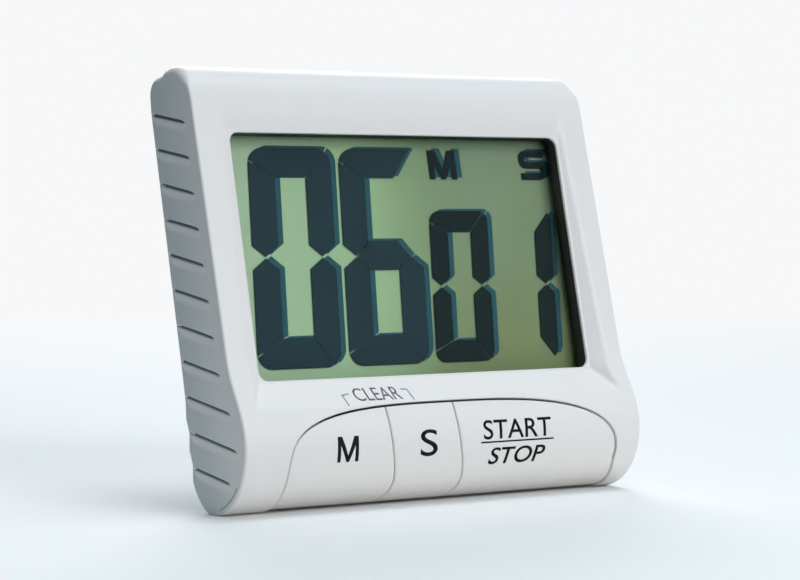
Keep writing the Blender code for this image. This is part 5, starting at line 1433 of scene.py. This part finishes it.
def slotFinishes():  # one detailed finish for each material slot that carried-over solids use
    return {
        "white_plastic": whiteBack, "key_plastic": whiteKeys, "black_plastic": blackFrame,
        "clear_acrylic": clearPane, "cell_glass": glassy("cell_glass", (0.90, 0.95, 0.90), 1.2),
        "reflector": lcdBack, "display_ink": lcdInk, "battery_jacket": blackFrame, "ferrite": sintered("ferrite"),
        "grey_rubber": layered("zebra_layers", *layerTones["zebra_layers"]),
        "flat_jumper": layered("flat_jumper", *layerTones["flat_jumper"]),
        "steel": plated("nickel", *metalTones["nickel"]), "brass": plated("brass_disc", *metalTones["brass_disc"]),
        "board": boardFinish("solder_mask"),
        "translucent_rubber": moulded("milky_rubber", (0.72, 0.72, 0.68), 0.5, grain=0.02, edge=0.3, tint=0.05),
        "carbon_rubber": moulded("carbon_rubber", (0.025, 0.025, 0.027), 0.75, grain=0.03, edge=0.1, tint=0.3),
        "chip_tan": moulded("ceramic", (0.42, 0.31, 0.20), 0.55, grain=0.02, edge=0.1, tint=0.12),
        "black_insulation": moulded("black_lead", (0.018, 0.018, 0.020), 0.35, grain=0.01, edge=0.1, tint=0.2),
        "red_insulation": moulded("red_lead", (0.52, 0.025, 0.022), 0.35, grain=0.01, edge=0.1, tint=0.12),
    }


def dressNodes():  # each carried-over solid wears its slot's finish
    used = {s["node"]: s["material_slot"] for s in frame["record"]["subparts"]}
    made = slotFinishes()
    for name, piece in nodes.items():
        dress(piece, made[used[name]])
    print("nodes dressed")


stageShape = {"floorSize": 8.0, "floorColour": (0.86, 0.87, 0.88), "backdrop": (0.93, 0.935, 0.945),
              "ambient": (0.17, 0.23, 0.26), "nearFloor": 0.16, "farFloor": 0.75,
              "pool": (0.93, 0.90, 0.86), "beyond": (0.16, 0.16, 0.16), "poolEdge": (0.10, 0.26)}


def buildFloor():  # plain pale floor that fades into the backdrop; light from it falls off away from the object
    s = stageShape
    size = s["floorSize"]
    data = bpy.data.meshes.new("floor")
    corners = [(-size, -size, 0), (size, -size, 0), (size, size, 0), (-size, size, 0)]
    data.from_pydata(corners, [], [(0, 1, 2, 3)])
    floor = placed("floor", data)
    shade = Shade("floor", s["floorColour"], 0.75)
    away = shade.add("ShaderNodeVectorMath", {"operation": "LENGTH"}, {0: shade.here()}, 1)
    far = ((away - s["nearFloor"]) / (s["farFloor"] - s["nearFloor"])).clamp(0.0, 1.0)
    seenByCamera = shade.add("ShaderNodeLightPath")
    inner, outer = s["poolEdge"]
    fade = ((away - inner) / (outer - inner)).clamp(0.0, 1.0)
    shade.put("Base Color", shade.mix(seenByCamera, shade.mix(fade, s["pool"], s["beyond"]), s["floorColour"]))
    glow = shade.tree.nodes.new("ShaderNodeEmission")
    glow.inputs["Color"].default_value = (*s["backdrop"], 1)
    blendShaders(shade.tree, (far * seenByCamera).socket, shade.shader.outputs[0], glow.outputs[0],
                 outputOf(shade.tree, "OUTPUT_MATERIAL"))
    dress(floor, shade)


def buildWorld():  # white where it is seen straight, mirrored or through glass; otherwise a dim cool fill
    s = stageShape
    world = bpy.data.worlds.new("studio")
    bpy.context.scene.world = world
    world.use_nodes = True
    tree = world.node_tree
    fill = tree.nodes["Background"]
    fill.inputs["Color"].default_value = (*s["ambient"], 1)
    seen = tree.nodes.new("ShaderNodeBackground")
    seen.inputs["Color"].default_value = (*s["backdrop"], 1)
    path = tree.nodes.new("ShaderNodeLightPath")
    share = path.outputs["Is Camera Ray"]
    for name in ("Is Glossy Ray", "Is Transmission Ray"):
        either = tree.nodes.new("ShaderNodeMath")
        either.operation = "MAXIMUM"
        tree.links.new(share, either.inputs[0])
        tree.links.new(path.outputs[name], either.inputs[1])
        share = either.outputs[0]
    blendShaders(tree, share, fill.outputs[0], seen.outputs[0], outputOf(tree, "OUTPUT_WORLD"))


def faceAlong(holder, aim):  # turns a lamp or camera so that it looks along a direction, upright
    holder.rotation_euler = aim.to_track_quat("-Z", "Y").to_euler()


lampShape = {
    "key_light": {"place": (0.12, -0.80, 0.38), "size": (0.5, 0.5), "power": 3.85, "colour": (0.97, 0.985, 1.0)},
    "top_light": {"place": (0.10, -0.10, 0.80), "size": (0.5, 0.5), "power": 3.0, "colour": (0.95, 0.98, 1.0)},
    "back_light": {"place": (0.40, 0.75, 0.50), "size": (0.5, 0.4), "power": 3.0, "colour": (0.97, 0.98, 1.0)},
}
lampTarget = (0, 0, 0.04)


def buildLight():  # three soft panels that all face the object's middle
    for name, given in lampShape.items():
        lamp = bpy.data.lights.new(name, "AREA")
        lamp.shape = "RECTANGLE"
        lamp.size, lamp.size_y = given["size"]
        lamp.energy = given["power"]
        lamp.color = given["colour"]
        holder = placed(name, lamp)
        holder.location = given["place"]
        faceAlong(holder, Vector(lampTarget) - Vector(given["place"]))


# worked out from the photograph's vanishing lines
cameraShape = {"place": (-0.25699, -0.37695, 0.05223), "azimuth": 34.371, "drop": 1.933, "lens": 114.9,
               "sensor": 36.0, "near": 0.01}


def buildCamera():  # looks along the azimuth, right of +Y, and a little down
    c = cameraShape
    data = bpy.data.cameras.new("camera")
    data.lens = c["lens"]
    data.sensor_width = c["sensor"]
    data.clip_start = c["near"]
    holder = placed("camera", data)
    holder.location = c["place"]
    a, e = math.radians(c["azimuth"]), math.radians(c["drop"])
    faceAlong(holder, Vector((math.sin(a) * math.cos(e), math.cos(a) * math.cos(e), -math.sin(e))))
    bpy.context.scene.camera = holder


bpy.context.scene.view_settings.view_transform = "Standard"
buildCamera()
buildFront()
print("front shell built")
for name, columns in keyColumns.items():
    buildKey(name, columns, name + "_key")
print("keys built")
buildDisplay()
buildLegends()
dressNodes()
buildBack()
buildFloor()
buildWorld()
buildLight()
